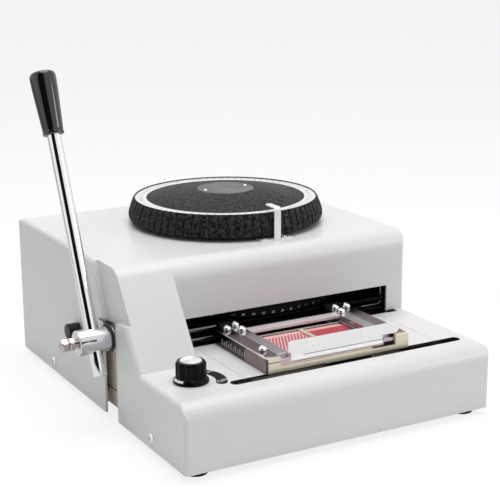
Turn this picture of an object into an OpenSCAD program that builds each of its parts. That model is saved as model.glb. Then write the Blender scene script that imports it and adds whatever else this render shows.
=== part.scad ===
// Hand-operated machine that presses raised characters into plastic cards.
// Lengths in millimetres. Inside the modules x runs to the right from the casing's
// left side, y runs back from its front and z up from its lower edge.

/* [Casing] */
// Width of the casing
case_w = 300; // [290:1:330]
// Depth of the casing
case_d = 370; // [367:1:400]
// Height of the front deck
deck_z = 57; // [56:0.5:58]
// Height of the upper box
box_z = 134.5; // [133:0.5:150]
// Distance from the front to the face of the upper box
box_y = 131; // [130.5:0.1:131.5]
// Thickness of the casing's sheet
wall = 2; // [1.2:0.1:2.4]
// Width of the sloped cheek beside the lever
cheek_w = 57; // [53:1:58]
// Lean of the cheek's slope
cheek_lean = 34.5; // [25:0.5:38]
// Rounding along the front of the deck
deck_r = 14; // [8:1:18]
// Rounding along the front of the upper box
box_r = 17; // [12:1:20]
// Rounding along the back of the upper box
rear_r = 12; // [6:1:16]
// Rounding of the casing's other edges
edge_r = 4; // [3:0.5:5]
// Height of the card mouth above the deck
mouth_h = 25.8; // [24:0.2:30]
// Depth of the recess beside the lever
recess_d = 5; // [2:0.5:5]
// Width of the slot along the front of the deck
groove_w = 9.5; // [8:0.5:11]

/* [Feet] */
// Diameter of a rubber foot
foot_d = 22; // [16:1:24]
// Height of a foot below the casing
foot_h = 6; // [4:0.5:10]

/* [Frame] */
// Thickness of the base plate
base_t = 10; // [8:0.5:12]
// Thickness of the side plates and of the bridge
plate_t = 6; // [4:0.5:6]
// Diameter of the carriage's guide rods
rod_d = 5; // [4:0.1:5.2]
// Running clearance of a shaft or rod in its bore, on the radius
run_fit = 0.05; // [0.02:0.01:0.1]
// Gap left between parts that pass each other
gap = 0.3; // [0.2:0.05:0.4]

/* [Wheels] */
// Diameter of the hand wheel
dial_d = 190; // [180:1:191]
// Width of the bright character ring
ring_w = 11.2; // [8:0.1:14]
// Number of characters, and of ribs round the hand wheel
characters = 72; // [60:1:80]
// Diameter of the type wheels
type_d = 220; // [216:1:221]
// Thickness of a type wheel
type_t = 11.5; // [10:0.5:12]
// Space between the type wheels, where the card goes
card_gap = 5; // [4.9:0.05:5.1]
// Diameter of the spindle
spindle_d = 20; // [16:1:22]

/* [Lever] */
// Diameter of the lever's rod
lever_d = 12; // [9:0.5:13]
// Reach of the rod from the hub to the grip
lever_reach = 183; // [140:1:220]
// Length of the grip
grip_len = 57; // [45:1:90]
// Diameter of the grip at its top
grip_d = 23.4; // [20:0.2:28]
// Backward lean of the lever at rest
lever_lean = 24; // [18:0.5:26]
// Diameter of the hub
hub_d = 22; // [20:0.2:23]
// Diameter of the lever's shaft
shaft_d = 16; // [12:0.5:17]
// Turns of the return spring
spring_turns = 4; // [3:1:4]
// Wire of the return spring
spring_wire = 1.2; // [0.9:0.1:1.3]

/* [Carriage and card] */
// Width over the carriage
carriage_w = 142.5; // [141:0.5:144]
// Height of the carriage's bars
bar_h = 13.7; // [13:0.1:14.4]
// Width of a side bar
bar_w = 13; // [12:0.1:13.2]
// Height of the tab plate
tab_h = 15; // [10:0.5:20]
// Diameter of the domed screws
screw_d = 8; // [6:0.2:8.4]
// Length of a card
card_l = 85.6; // [80:0.1:86]
// Width of a card
card_w = 53.98; // [50:0.01:54.2]
// Thickness of a card
card_t = 0.76; // [0.3:0.01:0.9]

/* [Knob] */
// Diameter of the knob's skirt
knob_d = 29.8; // [26:0.2:32]
// Height of the knob above the deck
knob_h = 19; // [14:0.5:24]

/* [Hidden] */
$fn = 96;
low = -20; // below everything, for cuts that leave a side open

// Where the main axes stand
right_plate_x = case_w - 12;
side_room = 4.5;
wheel_x = right_plate_x - type_d / 2 - side_room;
wheel_y = 255.4;
punch_r = type_d / 2 - 5;
punch_y = wheel_y - punch_r;
hub_y = 143.5;
hub_z = deck_z + 16.2;
knob_x = 31.75;
knob_y = 52;

// Heights of the frame
base_z = 4;
floor_z = base_z + base_t;
card_z = deck_z + 8;
wheel_top = card_z + card_gap / 2;
wheel_low = card_z - card_gap / 2;
bridge_z = wheel_top + type_t + 33;
bridge_top = bridge_z + plate_t;
dial_z = box_z + 3;

// The casing's openings
cheek_foot = box_y + box_r * (1 - cos(cheek_lean))
    - (box_z - box_r * (1 - sin(cheek_lean)) - deck_z) * tan(cheek_lean);
mouth_x0 = cheek_w + 0.5;
mouth_x1 = case_w - 20;
groove_y1 = 36.5;
groove_y0 = groove_y1 - groove_w - 0.5;
groove_x0 = cheek_w + 0.5;
groove_x1 = case_w - 10.6;
deck_x0 = cheek_w + 16;
deck_x1 = 267.5;
deck_y1 = box_y - 3.7;
seam = 0.3;
ledge_y = hub_y + 14.2;
ledge_z = hub_z + 12.8;
ledge_slope = 0.12;
recess_lean = 22;
lever_slot_y0 = hub_y - 12.5;
lever_slot_y1 = hub_y + 14.5;

// Feet, and the screws in the casing's sides
foot_in = 17;
foot_y = [foot_in, 300];
side_screw_y = [62, 282.3];
side_screw_z = base_z + base_t * 0.64;
side_screw_d = 8;
side_screw_h = 2.4;

// Side plates, posts and guide rods
plate_y = [hub_y - 9.5, 300];
left_plate_x = 9;
rod_y = box_y + wall + rod_d / 2 + 1;
rod_z = [wheel_low - rod_d / 2, wheel_top - 0.4 + rod_d / 2];
post_x = [cheek_w + 3, mouth_x1 + 0.7];
post_w = 6;
post_y = [rod_y - rod_d / 2 - 0.7, rod_y + rod_d / 2 + 1];
post_top = rod_z[1] + rod_d / 2 + 2;

// Arms that squeeze the punches, like a pair of pliers
arm_x = 100;
arm_y = [punch_y - 6, punch_y + 6];
arm_ear = 3;
arm_pin_r = 5;
arm_h = 13.5;
arm_end = wheel_x + 11.5;
hammer_w = 10;
stroke = 2.3;
cam_r = 14;
cam_lift = 2;
cam_sweep = 70;
cam_x = [24, 40];
pad_gap = 0.6;
pad_x = [22, 42];
pad_y = [hub_y - 7.5, arm_y[1]];
upper_pad_z = hub_z + cam_r + 0.1 + pad_gap;
lower_pad_z = hub_z - cam_r - 0.1 - pad_gap;
upper_nose_z = wheel_top + type_t + 1 + stroke + gap;
lower_nose_z = wheel_low - type_t - 1 - stroke - gap;
upper_beam_z = max(upper_pad_z, upper_nose_z + 3);
lower_beam_z = lower_nose_z - 1.4;
upper_pivot_z = upper_beam_z + arm_h / 2;
lower_pivot_z = lower_beam_z - arm_h / 2 - 1.2;

// Lever
lever_x = -15;
hub_x = [-31, 2];
hub_socket = 9;
rod_below = 31;
grip_sink = 45;
bolt_x = -45;
bolt_af = 10;
spring_x = [-8.8, -0.5];
spring_r = 12.3;
spring_legs = [9, 20];
bracket_x = [44.5, 50.5];

// Carriage, at rest over the middle of its travel
carriage_x0 = wheel_x - 80.9;
carriage_x1 = carriage_x0 + carriage_w;
carriage_z0 = deck_z + gap;
carriage_z1 = carriage_z0 + bar_h;
front_t = 2.5;
front_y = [groove_y1 - 0.5 - front_t, groove_y1 - 0.5];
front_low = 4.1;
mark_l = [6, 4];
bar_y = [front_y[1], box_y - 1.5];
arm_gap = 0.3;
arm_w = 11;
left_arm_x = [carriage_x0 + bar_w + arm_gap, carriage_x0 + bar_w + arm_gap + arm_w];
right_arm_x = [carriage_x1 - bar_w - arm_gap - arm_w, carriage_x1 - bar_w - arm_gap];
front_bar_d = 5;
block_w = 17;
block_y = [bar_y[1], post_y[1] - gap];
block_z = [rod_z[0] - rod_d / 2 - 3, rod_z[1] + rod_d / 2 + 1.2];
cross_y = [105, 115];

// Card tray, which slides on ledges of the carriage's arms
tray_x = [left_arm_x[1] + 0.5, right_arm_x[0] - 0.5];
tray_z = card_z - 1.8;
tray_t = 1.1;
tray_back = 78;
rail_y0 = 42;
ledge_w = 4;
card_base = tray_z + tray_t;
card_left = 52.5;
card_x0 = wheel_x - card_left;
card_y0 = 46;
card_y1 = card_y0 + card_w;
rail_top = rod_z[1] - rod_d / 2 - 0.6;
tray_front_z = card_z + 3;
tab_y = [front_y[1] + 1, front_y[1] + 2.5];
tab_x = [115, 230];

// Feed: a rack under the deck turns a pinion on a spring drum
feed_pitch = 3.63;
feed_m = feed_pitch / PI;
feed_teeth = 20;
feed_r = feed_m * feed_teeth / 2;
feed_z = [deck_z - 17, deck_z - 11];
feed_y = 36;
backlash = 0.3;
pinion_y = feed_y + feed_r;
feed_shaft_r = 4;
drum_r = 20;

// Origin: the middle of the object's outline, on the surface it stands on
origin_x = (case_w + side_screw_h + bolt_x) / 2;
origin_y = case_d / 2;

paint = "gainsboro";
chrome = "silver";
zinc = "khaki";
black = [0.1, 0.1, 0.1];
steel = "slategray";
bronze = "peru";

// ---- Shapes that several pieces share ----

module block(a, b) {
    translate(a) cube(b - a);
}

module rod_along_x(x, y, z, r) {
    translate([x[0], y, z]) rotate([0, 90, 0]) cylinder(h = x[1] - x[0], r = r);
}

module rod_along_y(x, y, z, r) {
    translate([x, y[0], z]) rotate([-90, 0, 0]) cylinder(h = y[1] - y[0], r = r);
}

module rod_along_z(x, y, z, r) {
    translate([x, y, z[0]]) cylinder(h = z[1] - z[0], r = r);
}

// Children drawn in y and z, extruded along x
module along_x(x) {
    translate([x[0], 0, 0]) rotate([90, 0, 90]) linear_extrude(x[1] - x[0]) children();
}

// Children drawn in x and z, extruded along y
module along_y(y) {
    translate([0, y[1], 0]) rotate([90, 0, 0]) linear_extrude(y[1] - y[0]) children();
}

// Rectangle with its two upper corners rounded
module arched(x, z, r) {
    translate([x[0], z[0]]) square([x[1] - x[0], z[1] - z[0] - r]);
    translate([x[0] + r, z[0]]) square([x[1] - x[0] - 2 * r, z[1] - z[0]]);
    for (c = [x[0] + r, x[1] - r]) translate([c, z[1] - r]) circle(r);
}

// Rectangle with its four corners rounded
module rounded(x, y, r) {
    translate([x[0] + r, y[0]]) square([x[1] - x[0] - 2 * r, y[1] - y[0]]);
    translate([x[0], y[0] + r]) square([x[1] - x[0], y[1] - y[0] - 2 * r]);
    for (cx = [x[0] + r, x[1] - r], cy = [y[0] + r, y[1] - r])
        translate([cx, cy]) circle(r);
}

// Domed screw head with a cross slot, on the plane z
module domed_head(x, y, z, d, h) {
    slot_w = d * 0.16;
    translate([x, y, z]) difference() {
        intersection() {
            cylinder(h = h, r = d / 2);
            translate([0, 0, h - d * 0.75]) sphere(r = d * 0.75);
        }
        for (a = [0, 90]) rotate([0, 0, a + 20]) translate([-d * 0.32, -slot_w / 2, h * 0.5])
            cube([d * 0.64, slot_w, h]);
    }
}

// ---- Casing ----

module deck_side(i, z0) {
    translate([deck_r, z0]) square([box_y + 25 - deck_r, deck_z - i - z0]);
    translate([i, z0]) square([box_y, deck_z - deck_r - z0]);
    translate([deck_r, deck_z - deck_r]) circle(deck_r - i);
}

module box_side(i, z0) {
    translate([box_y + i, z0]) square([case_d - box_y - 2 * i, box_z - box_r - z0]);
    translate([box_y + box_r, z0])
        square([case_d - rear_r - box_y - box_r, box_z - i - z0]);
    translate([box_y + box_r, z0])
        square([case_d - i - box_y - box_r, box_z - rear_r - z0]);
    translate([box_y + box_r, box_z - box_r]) circle(box_r - i);
    translate([case_d - rear_r, box_z - rear_r]) circle(rear_r - i);
}

// Sloped side of the cheek: its slope runs into the rounding of the box, cutting it by tuck
tuck = 0.03;

module cheek_side(i) {
    c = [box_y + box_r, box_z - box_r];
    n = [-cos(cheek_lean), sin(cheek_lean)];
    t = c + (box_r - i - tuck) * n;
    down = (t[1] - low) * tan(cheek_lean);
    polygon([[t[0] - down, low], t, c, [c[0], low]]);
}

module cheek_body(i) {
    intersection() {
        along_x([i, cheek_w - i]) cheek_side(i);
        translate([0, cheek_foot, deck_z]) rotate([-cheek_lean, 0, 0])
            translate([0, 0, -100]) linear_extrude(300) mirror([0, 1])
                arched([i, cheek_w - i], [-200, -i], edge_r - i);
        block([0, 10, deck_z - wall - 1], [cheek_w, box_y + box_r + 5, box_z]);
    }
}

// The casing's outline, all faces moved in by i, its bottom at z0
module casing_solid(i, z0) {
    intersection() {
        along_x([i, case_w - i]) deck_side(i, z0);
        along_y([0, case_d]) arched([i, case_w - i], [z0, deck_z - i], edge_r - i);
        translate([0, 0, z0]) linear_extrude(box_z - z0)
            rounded([i, case_w - i], [i, case_d], edge_r - i);
    }
    intersection() {
        along_x([i, case_w - i]) box_side(i, z0);
        along_y([0, case_d]) arched([i, case_w - i], [z0, box_z - i], edge_r - i);
        translate([0, 0, z0]) linear_extrude(box_z - z0)
            rounded([i, case_w - i], [box_y + i, case_d - i], edge_r - i);
    }
    intersection() {
        cheek_body(i);
        along_y([0, case_d]) arched([i, case_w - i], [z0, box_z - i], edge_r - i);
    }
}

// Recess beside the lever, grown by g
module recess(g) {
    front_y = 60;
    back_y = ledge_y + g / cos(recess_lean);
    top_z = box_z + 20;
    along_x([-1, recess_d + g]) polygon([
        [front_y, ledge_z - g + (back_y - front_y) * ledge_slope],
        [back_y, ledge_z - g],
        [back_y + (top_z - ledge_z + g) * tan(recess_lean), top_z],
        [front_y, top_z]]);
}

module casing() {
    color(paint) difference() {
        casing_solid(0, 0);
        difference() {
            casing_solid(wall, low);
            recess(wall);
        }
        recess(0);
        // Mouth for the card carriage
        block([mouth_x0, deck_y1, deck_z - wall - 1], [mouth_x1, box_y + wall + 1, deck_z + mouth_h]);
        // Window for the deck plate, with the groove in front of it and the gap behind
        block([deck_x0, groove_y0, deck_z - wall - 1], [deck_x1, box_y + 1, deck_z + 1]);
        block([mouth_x1 - 1, deck_y1, deck_z - wall - 1], [groove_x1, box_y + 1, deck_z + 1]);
        translate([0, 0, deck_z - wall - 1]) linear_extrude(wall + 2)
            rounded([groove_x0, groove_x1], [groove_y0, groove_y1], (groove_y1 - groove_y0) / 2 - 0.1);
        // Slot for the lever's hub, open at the bottom
        block([-1, lever_slot_y0, -1], [max(recess_d, wall + 0.5), lever_slot_y1, ledge_z + 3]);
        // Holes for the spindle and the knob
        rod_along_z(wheel_x, wheel_y, [box_z - 2 * wall, box_z + 1], spindle_d / 2 + 3);
        rod_along_z(knob_x, knob_y, [deck_z - 2 * wall, deck_z + 1], 4);
        for (y = side_screw_y) rod_along_x([-1, case_w + 1], y, side_screw_z, 2);
        rod_along_x([-1, wall + 1], side_stop_y, side_stop_z, 3);
    }
}

module deck_plate() {
    lip = 8;
    color(paint) {
        block([deck_x0 + seam, groove_y1, deck_z - wall], [deck_x1 - seam, deck_y1, deck_z]);
        for (x = [deck_x0 - lip, deck_x1 - lip])
            block([x, groove_y1 + 2, deck_z - 2 * wall], [x + 2 * lip, deck_y1, deck_z - wall]);
    }
}

module base_plate() {
    i = wall + gap;
    color(steel) difference() {
        translate([0, 0, base_z]) linear_extrude(base_t)
            rounded([i, case_w - i], [i, case_d - i], 3);
        // Notch behind the lever slot
        block([0, lever_slot_y0 - 4, 0], [left_plate_x, lever_slot_y1 + 14, floor_z + 1]);
        rod_along_z(wheel_x, wheel_y, [base_z + 3, floor_z + 1], spindle_d / 2 + 6);
        for (y = side_screw_y) {
            rod_along_x([0, 14], y, side_screw_z, 2);
            rod_along_x([case_w - 14, case_w], y, side_screw_z, 2);
        }
        for (x = [foot_in, case_w - foot_in], y = foot_y)
            rod_along_z(x, y, [base_z - 1, base_z + 6], 3);
    }
}

module rubber_feet() {
    color(black) for (x = [foot_in, case_w - foot_in], y = foot_y) translate([x, y, 0]) {
        translate([0, 0, -foot_h]) cylinder(h = foot_h, r1 = foot_d / 2 - 1, r2 = foot_d / 2, $fn = 64);
        cylinder(h = base_z, r = foot_d / 2, $fn = 64);
        cylinder(h = base_z + 6, r = 3, $fn = 64);
    }
}

module casing_screws() {
    color(chrome) for (s = [0, 1], y = side_screw_y)
        translate([s * case_w, y, side_screw_z]) mirror([s, 0, 0]) {
            rod_along_x([0, 12], 0, 0, 2);
            rotate([0, -90, 0]) domed_head(0, 0, 0, side_screw_d, side_screw_h);
        }
}

side_stop_y = hub_y + 71.5;
side_stop_z = hub_z - 12.7;

module side_stop() {
    color(black) {
        rod_along_x([-12, 0], side_stop_y, side_stop_z, 7);
        rod_along_x([0, wall + 2], side_stop_y, side_stop_z, 3);
    }
}

// ---- Frame ----

module side_plate_left() {
    color(zinc) difference() {
        block([left_plate_x, plate_y[0], floor_z], [left_plate_x + plate_t, plate_y[1], bridge_z]);
        rod_along_x([left_plate_x - 1, left_plate_x + plate_t + 1], hub_y, hub_z, shaft_d / 2 + 3);
    }
}

module side_plate_right() {
    color(zinc)
        block([right_plate_x, plate_y[0], floor_z], [right_plate_x + plate_t, plate_y[1], bridge_z]);
}

module top_bridge() {
    color(steel) difference() {
        block([left_plate_x, plate_y[0], bridge_z], [right_plate_x + plate_t, plate_y[1], bridge_top]);
        rod_along_z(wheel_x, wheel_y, [bridge_z - 1, bridge_top + 1], spindle_d / 2 + 6);
    }
}

module upper_bearing() {
    color(bronze) difference() {
        union() {
            rod_along_z(wheel_x, wheel_y, [bridge_z - 3, bridge_top], spindle_d / 2 + 6);
            rod_along_z(wheel_x, wheel_y, [bridge_top, bridge_top + 5], spindle_d / 2 + 14);
        }
        rod_along_z(wheel_x, wheel_y, [bridge_z - 4, bridge_top + 6], spindle_d / 2 + run_fit);
    }
}

module lower_bearing() {
    color(bronze) difference() {
        union() {
            rod_along_z(wheel_x, wheel_y, [base_z + 3, floor_z], spindle_d / 2 + 6);
            rod_along_z(wheel_x, wheel_y, [floor_z, floor_z + 8], spindle_d / 2 + 14);
        }
        rod_along_z(wheel_x, wheel_y, [base_z + 6, floor_z + 9], spindle_d / 2 + run_fit);
    }
}

module shaft_bush() {
    color(bronze) difference() {
        union() {
            rod_along_x([left_plate_x - 1, left_plate_x + plate_t], hub_y, hub_z, shaft_d / 2 + 3);
            rod_along_x([left_plate_x + plate_t, left_plate_x + plate_t + 3], hub_y, hub_z, shaft_d / 2 + 5);
        }
        rod_along_x([left_plate_x - 2, left_plate_x + plate_t + 4], hub_y, hub_z, shaft_d / 2 + run_fit);
    }
}

// Upright that carries the shaft's inner end and leaves room for the lower arm
module shaft_bracket() {
    head_r = shaft_d / 2 + 5;
    foot_y0 = hub_y - 19.5;
    foot_y1 = arm_y[0] - arm_ear - 0.4;
    color(steel) difference() {
        union() {
            block([bracket_x[0], foot_y0, floor_z], [bracket_x[1], foot_y1, hub_z]);
            block([bracket_x[0] - 6, foot_y0, floor_z], [bracket_x[1] + 8, foot_y1, floor_z + 6]);
            rod_along_x(bracket_x, hub_y, hub_z, head_r);
        }
        rod_along_x([bracket_x[0] - 1, bracket_x[1] + 1], hub_y, hub_z, shaft_d / 2 + run_fit);
    }
}

module guide_rods() {
    color(chrome) for (z = rod_z)
        rod_along_x([post_x[0], post_x[1] + post_w], rod_y, z, rod_d / 2);
}

module rod_posts() {
    color(steel) difference() {
        for (x = post_x)
            block([x, post_y[0], floor_z], [x + post_w, post_y[1], post_top]);
        for (z = rod_z)
            rod_along_x([post_x[0] - 1, post_x[1] + post_w + 1], rod_y, z, rod_d / 2);
    }
}

// Two ears and their plate: z0 is the plate's far face, z1 the end of the ears
module arm_bracket(z0, z1, pivot_z) {
    w = 10;
    t = z1 > z0 ? 6 : -6;
    ears = [[arm_y[0] - arm_ear - gap, arm_y[0] - gap], [arm_y[1] + gap, arm_y[1] + arm_ear + gap]];
    difference() {
        union() {
            block([arm_x - w - 5, ears[0][0] - 2, min(z0, z0 + t)],
                [arm_x + w + 5, ears[1][1] + 2, max(z0, z0 + t)]);
            for (e = ears) block([arm_x - w, e[0], min(z0, z1)], [arm_x + w, e[1], max(z0, z1)]);
        }
        rod_along_y(arm_x, [ears[0][0] - 3, ears[1][1] + 3], pivot_z, arm_pin_r);
    }
}

module upper_arm_bracket() {
    color(steel) arm_bracket(bridge_z, upper_pivot_z - arm_pin_r - 4, upper_pivot_z);
}

module lower_arm_bracket() {
    color(steel) arm_bracket(floor_z, lower_pivot_z + arm_pin_r + 4, lower_pivot_z);
}

module arm_pins() {
    color(chrome) for (z = [upper_pivot_z, lower_pivot_z])
        rod_along_y(arm_x, [arm_y[0] - arm_ear - gap, arm_y[1] + arm_ear + gap], z, arm_pin_r);
}

pointer_w = 6.8;
pointer_x = wheel_x + 2;
pointer_y = wheel_y - dial_d / 2 - 3.2;
pointer_top = dial_z + 28;

// Strap bent up in front of the hand wheel and back over its ring
module pointer() {
    t = 1.2;
    foot_t = 1.2;
    color(chrome) {
        block([pointer_x - pointer_w / 2, pointer_y, box_z], [pointer_x + pointer_w / 2, pointer_y + t, pointer_top]);
        block([pointer_x - pointer_w / 2, pointer_y, pointer_top - t],
            [pointer_x + pointer_w / 2, pointer_y + 19, pointer_top]);
        difference() {
            block([pointer_x - 16, pointer_y + t, box_z], [pointer_x + 16, pointer_y + 12, box_z + foot_t]);
            for (s = [-1, 1]) rod_along_z(pointer_x + s * 10.5, pointer_y + 7, [box_z - 1, box_z + 2], 1.2);
        }
    }
}

module pointer_screws() {
    color(chrome) for (s = [-1, 1]) {
        domed_head(pointer_x + s * 10.5, pointer_y + 7, box_z + 1.2, 5, 1.3);
        rod_along_z(pointer_x + s * 10.5, pointer_y + 7, [box_z, box_z + 1.2], 1.2);
    }
}

// Curved plate beside the knob
module knob_label() {
    r = [knob_d / 2 + 5.6, knob_d / 2 + 15];
    half = 33;
    mid = (r[0] + r[1]) / 2;
    color(black) translate([knob_x, knob_y, deck_z]) linear_extrude(gap - 0.1) {
        intersection() {
            difference() {
                circle(r[1]);
                circle(r[0]);
            }
            polygon([[0, 0], [60 * cos(half), -60 * sin(half)], [60, 0], [60 * cos(half), 60 * sin(half)]]);
        }
        for (s = [-1, 1]) rotate(s * half) translate([mid, 0]) circle((r[1] - r[0]) / 2);
    }
}

// Coil of the return spring: one tube, wound and closed by a formula
coil_rings = 12;
coil_sides = 6;
coil_pitch = (spring_x[1] - spring_x[0] - spring_wire) / spring_turns;
coil_points = [for (k = [0 : spring_turns * coil_rings])
    let (a = 360 * k / coil_rings)
    [spring_x[0] + spring_wire / 2 + coil_pitch * k / coil_rings,
        hub_y + spring_r * sin(a), hub_z + spring_r * cos(a)]];
coil_first = coil_points[0];
coil_last = coil_points[len(coil_points) - 1];
spring_path = concat([coil_first + [0, -spring_legs[0], 0]], coil_points, [coil_last + [0, spring_legs[1], 0]]);

function unit(v) = v / norm(v);
function ring_dir(path, k) =
    k == 0 ? unit(path[1] - path[0])
    : k == len(path) - 1 ? unit(path[k] - path[k - 1])
    : unit(unit(path[k + 1] - path[k]) + unit(path[k] - path[k - 1]));
function ring_points(path, k, r, sides) =
    let (d = ring_dir(path, k), u = unit(cross(d, [1, 0.02, 0.01])), v = cross(d, u))
    [for (j = [0 : sides - 1]) path[k] + r * (cos(360 * j / sides) * u + sin(360 * j / sides) * v)];

module tube(path, r, sides) {
    n = len(path);
    walls = [for (k = [0 : n - 2], j = [0 : sides - 1])
        let (a = k * sides + j, b = k * sides + (j + 1) % sides, c = a + sides, d = b + sides)
        each [[a, b, c], [b, d, c]]];
    caps = [for (j = [1 : sides - 2]) each [[0, j + 1, j],
        [(n - 1) * sides, (n - 1) * sides + j, (n - 1) * sides + j + 1]]];
    polyhedron(points = [for (k = [0 : n - 1]) each ring_points(path, k, r, sides)],
        faces = concat(walls, caps), convexity = 8);
}

spring_gap = min([for (a = [0 : len(spring_path) - 1], b = [0 : len(spring_path) - 1])
    if (b > a + coil_rings / 2) norm(spring_path[a] - spring_path[b])]) - spring_wire;
echo(spring_gap = spring_gap);

module return_spring() {
    color(steel) tube(spring_path, spring_wire / 2, coil_sides);
}

// Closed can for the feed spring, with the bore its pinion turns in
module spring_drum() {
    color(steel) difference() {
        union() {
            rod_along_z(wheel_x, pinion_y, [floor_z, feed_z[0] - 3], drum_r);
            rod_along_z(wheel_x, pinion_y, [floor_z, floor_z + 3], drum_r + 5);
        }
        rod_along_z(wheel_x, pinion_y, [floor_z + 3, feed_z[0]], feed_shaft_r + run_fit);
    }
}

// Black sheet behind the rods, with the window that the tray goes through
module mouth_frame() {
    y = post_y[1];
    sill_z = tray_z - 0.5;
    window_x1 = mouth_x1 - 0.5;
    color(black) along_y([y, y + 1]) difference() {
        translate([post_x[0], deck_z - 3]) square([post_x[1] + post_w - post_x[0], mouth_h + 1]);
        rounded([0, window_x1], [sill_z, deck_z + 2 * mouth_h], 4);
    }
}

// ---- Wheels ----

dome_edge_r = dial_d / 2 - 6.6 - ring_w;
badge_r = 27.4;
dome_h = 8;
dome_ball = (dome_edge_r * dome_edge_r - badge_r * badge_r + dome_h * dome_h) / (2 * dome_h);
ring_z = dial_z + 20.5;
groove_deep = 1.3;

module dial_wheel() {
    rim = dial_d / 2;
    hub_r = spindle_d / 2 + 10;
    color(black) translate([wheel_x, wheel_y, dial_z]) difference() {
        rotate_extrude($fn = 144) difference() {
            union() {
                polygon([[0, 0], [rim - 4, 0.5], [rim - 1, 2], [rim, 5.5], [rim - 4.5, 19.5],
                    [rim - 6, 21], [rim - 6.6, 21], [rim - 6.6, 20.5], [0, 20.5]]);
                intersection() {
                    translate([0, 20.7 + dome_h - dome_ball + drop(badge_r)]) circle(dome_ball, $fn = 360);
                    square([dome_edge_r, 60]);
                }
            }
            // Hollow under the wheel
            polygon([[hub_r, -1], [hub_r, 14], [rim - 12, 14], [rim - 10, -1]]);
            // The badge lies in a shallow seat
            translate([0, 20.7 + dome_h - 0.8]) square([badge_r, 10]);
            translate([0, -1]) square([spindle_d / 2, 14]);
        }
        for (k = [0 : characters - 1]) rotate([0, 0, 360 * (k + 0.5) / characters])
            translate([rim - groove_deep, 0, 3]) rotate([0, -17.8, 0])
                translate([0, -0.7, -3]) cube([4, 1.4, 20]);
    }
}

// Sag of the dome's ball at radius r
function drop(r) = dome_ball - sqrt(dome_ball * dome_ball - r * r);

module dial_ring() {
    color(chrome) translate([wheel_x, wheel_y, ring_z - 0.0]) difference() {
        translate([0, 0, -0.0]) cylinder(h = 1, r = dial_d / 2 - 6.6, $fn = 144);
        translate([0, 0, -1]) cylinder(h = 3, r = dome_edge_r, $fn = 144);
    }
}

module dial_badge() {
    z = dial_z + 20.7 + dome_h - 0.8;
    color(black) translate([wheel_x, wheel_y, z]) {
        cylinder(h = 1.2, r = badge_r);
        for (s = [-1, 1]) translate([s * 0.8 * badge_r, 0, 1.2]) cylinder(h = 0.8, r = 1.6);
    }
}

module spindle() {
    color(chrome) rod_along_z(wheel_x, wheel_y, [base_z + 6, dial_z + 13], spindle_d / 2);
}

pin_w = 4.4;
pin_d = 3;

// One type wheel, its lower face on z: slots for the type, and a key groove round the rim
module type_wheel(z) {
    key_z = z + type_t / 2 - 1;
    hub_r = spindle_d / 2 + 12;
    color(black) difference() {
        rod_along_z(wheel_x, wheel_y, [z, z + type_t], type_d / 2);
        rod_along_z(wheel_x, wheel_y, [z - 1, z + type_t + 1], spindle_d / 2);
        translate([wheel_x, wheel_y, z - 1]) difference() {
            cylinder(h = type_t + 2, r = punch_r - 18);
            cylinder(h = type_t + 2, r = hub_r);
            for (a = [0 : 60 : 300]) rotate([0, 0, a]) translate([0, -9, 0]) cube([punch_r, 18, type_t + 2]);
        }
        for (k = [0 : characters - 1]) translate([wheel_x, wheel_y, 0]) rotate([0, 0, 360 * k / characters]) {
            translate([-pin_w / 2, -punch_r - pin_d / 2, z - 1]) cube([pin_w, pin_d, type_t + 2]);
            translate([-pin_w / 2, -type_d / 2 - 1, key_z]) cube([pin_w, 5, 2]);
        }
    }
}

// The type in one wheel: z is the wheel's lower face, z0 and z1 the ends of the type
module type_pins(z, z0, z1) {
    key_z = z + type_t / 2 - 1;
    color(chrome) for (k = [0 : characters - 1])
        translate([wheel_x, wheel_y, 0]) rotate([0, 0, 360 * k / characters]) {
            translate([-pin_w / 2, -punch_r - pin_d / 2, z0]) cube([pin_w, pin_d, z1 - z0]);
            translate([-pin_w / 2, -type_d / 2 + gap, key_z])
                cube([pin_w, type_d / 2 - gap - punch_r - pin_d / 2, 2]);
        }
}

module upper_type_wheel() {
    type_wheel(wheel_top);
}

module lower_type_wheel() {
    type_wheel(wheel_low - type_t);
}

module upper_type_pins() {
    type_pins(wheel_top, wheel_top - gap, wheel_top + type_t + 1);
}

module lower_type_pins() {
    type_pins(wheel_low - type_t, wheel_low - type_t - 1, wheel_low + gap);
}

// ---- Lever ----

// Children drawn along +z from the hub's axis, leaning back with the lever
module on_lever() {
    translate([lever_x, hub_y, hub_z]) rotate([-lever_lean, 0, 0]) children();
}

module lever_rod() {
    color(chrome) on_lever() translate([0, 0, -rod_below])
        cylinder(h = rod_below + lever_reach + grip_sink, r = lever_d / 2);
}

module lever_grip() {
    top = grip_d / 2;
    bottom = grip_d / 2 - 2.4;
    color(black) on_lever() translate([0, 0, lever_reach]) difference() {
        rotate_extrude() {
            polygon([[0, 0], [bottom - 1, 0], [bottom, 1], [top, grip_len - 5], [0, grip_len - 5]]);
            intersection() {
                translate([0, grip_len - 5]) union() {
                    translate([top - 5, 0]) circle(5);
                    square([top - 5, 5]);
                }
                square([top, grip_len]);
            }
        }
        translate([0, 0, -1]) cylinder(h = grip_sink + 1, r = lever_d / 2);
    }
}

module lever_hub() {
    slit = 1.2;
    color(chrome) difference() {
        rod_along_x(hub_x, hub_y, hub_z, hub_d / 2);
        on_lever() translate([0, 0, -50]) cylinder(h = 100, r = lever_d / 2);
        rod_along_x([hub_x[1] - hub_socket, hub_x[1] + 1], hub_y, hub_z, shaft_d / 2);
        rod_along_x([hub_x[0] - 1, lever_x], hub_y, hub_z, 3);
        block([hub_x[0] + 4, hub_y - hub_d, hub_z - slit / 2], [lever_x, hub_y - 7, hub_z + slit / 2]);
    }
}

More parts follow.
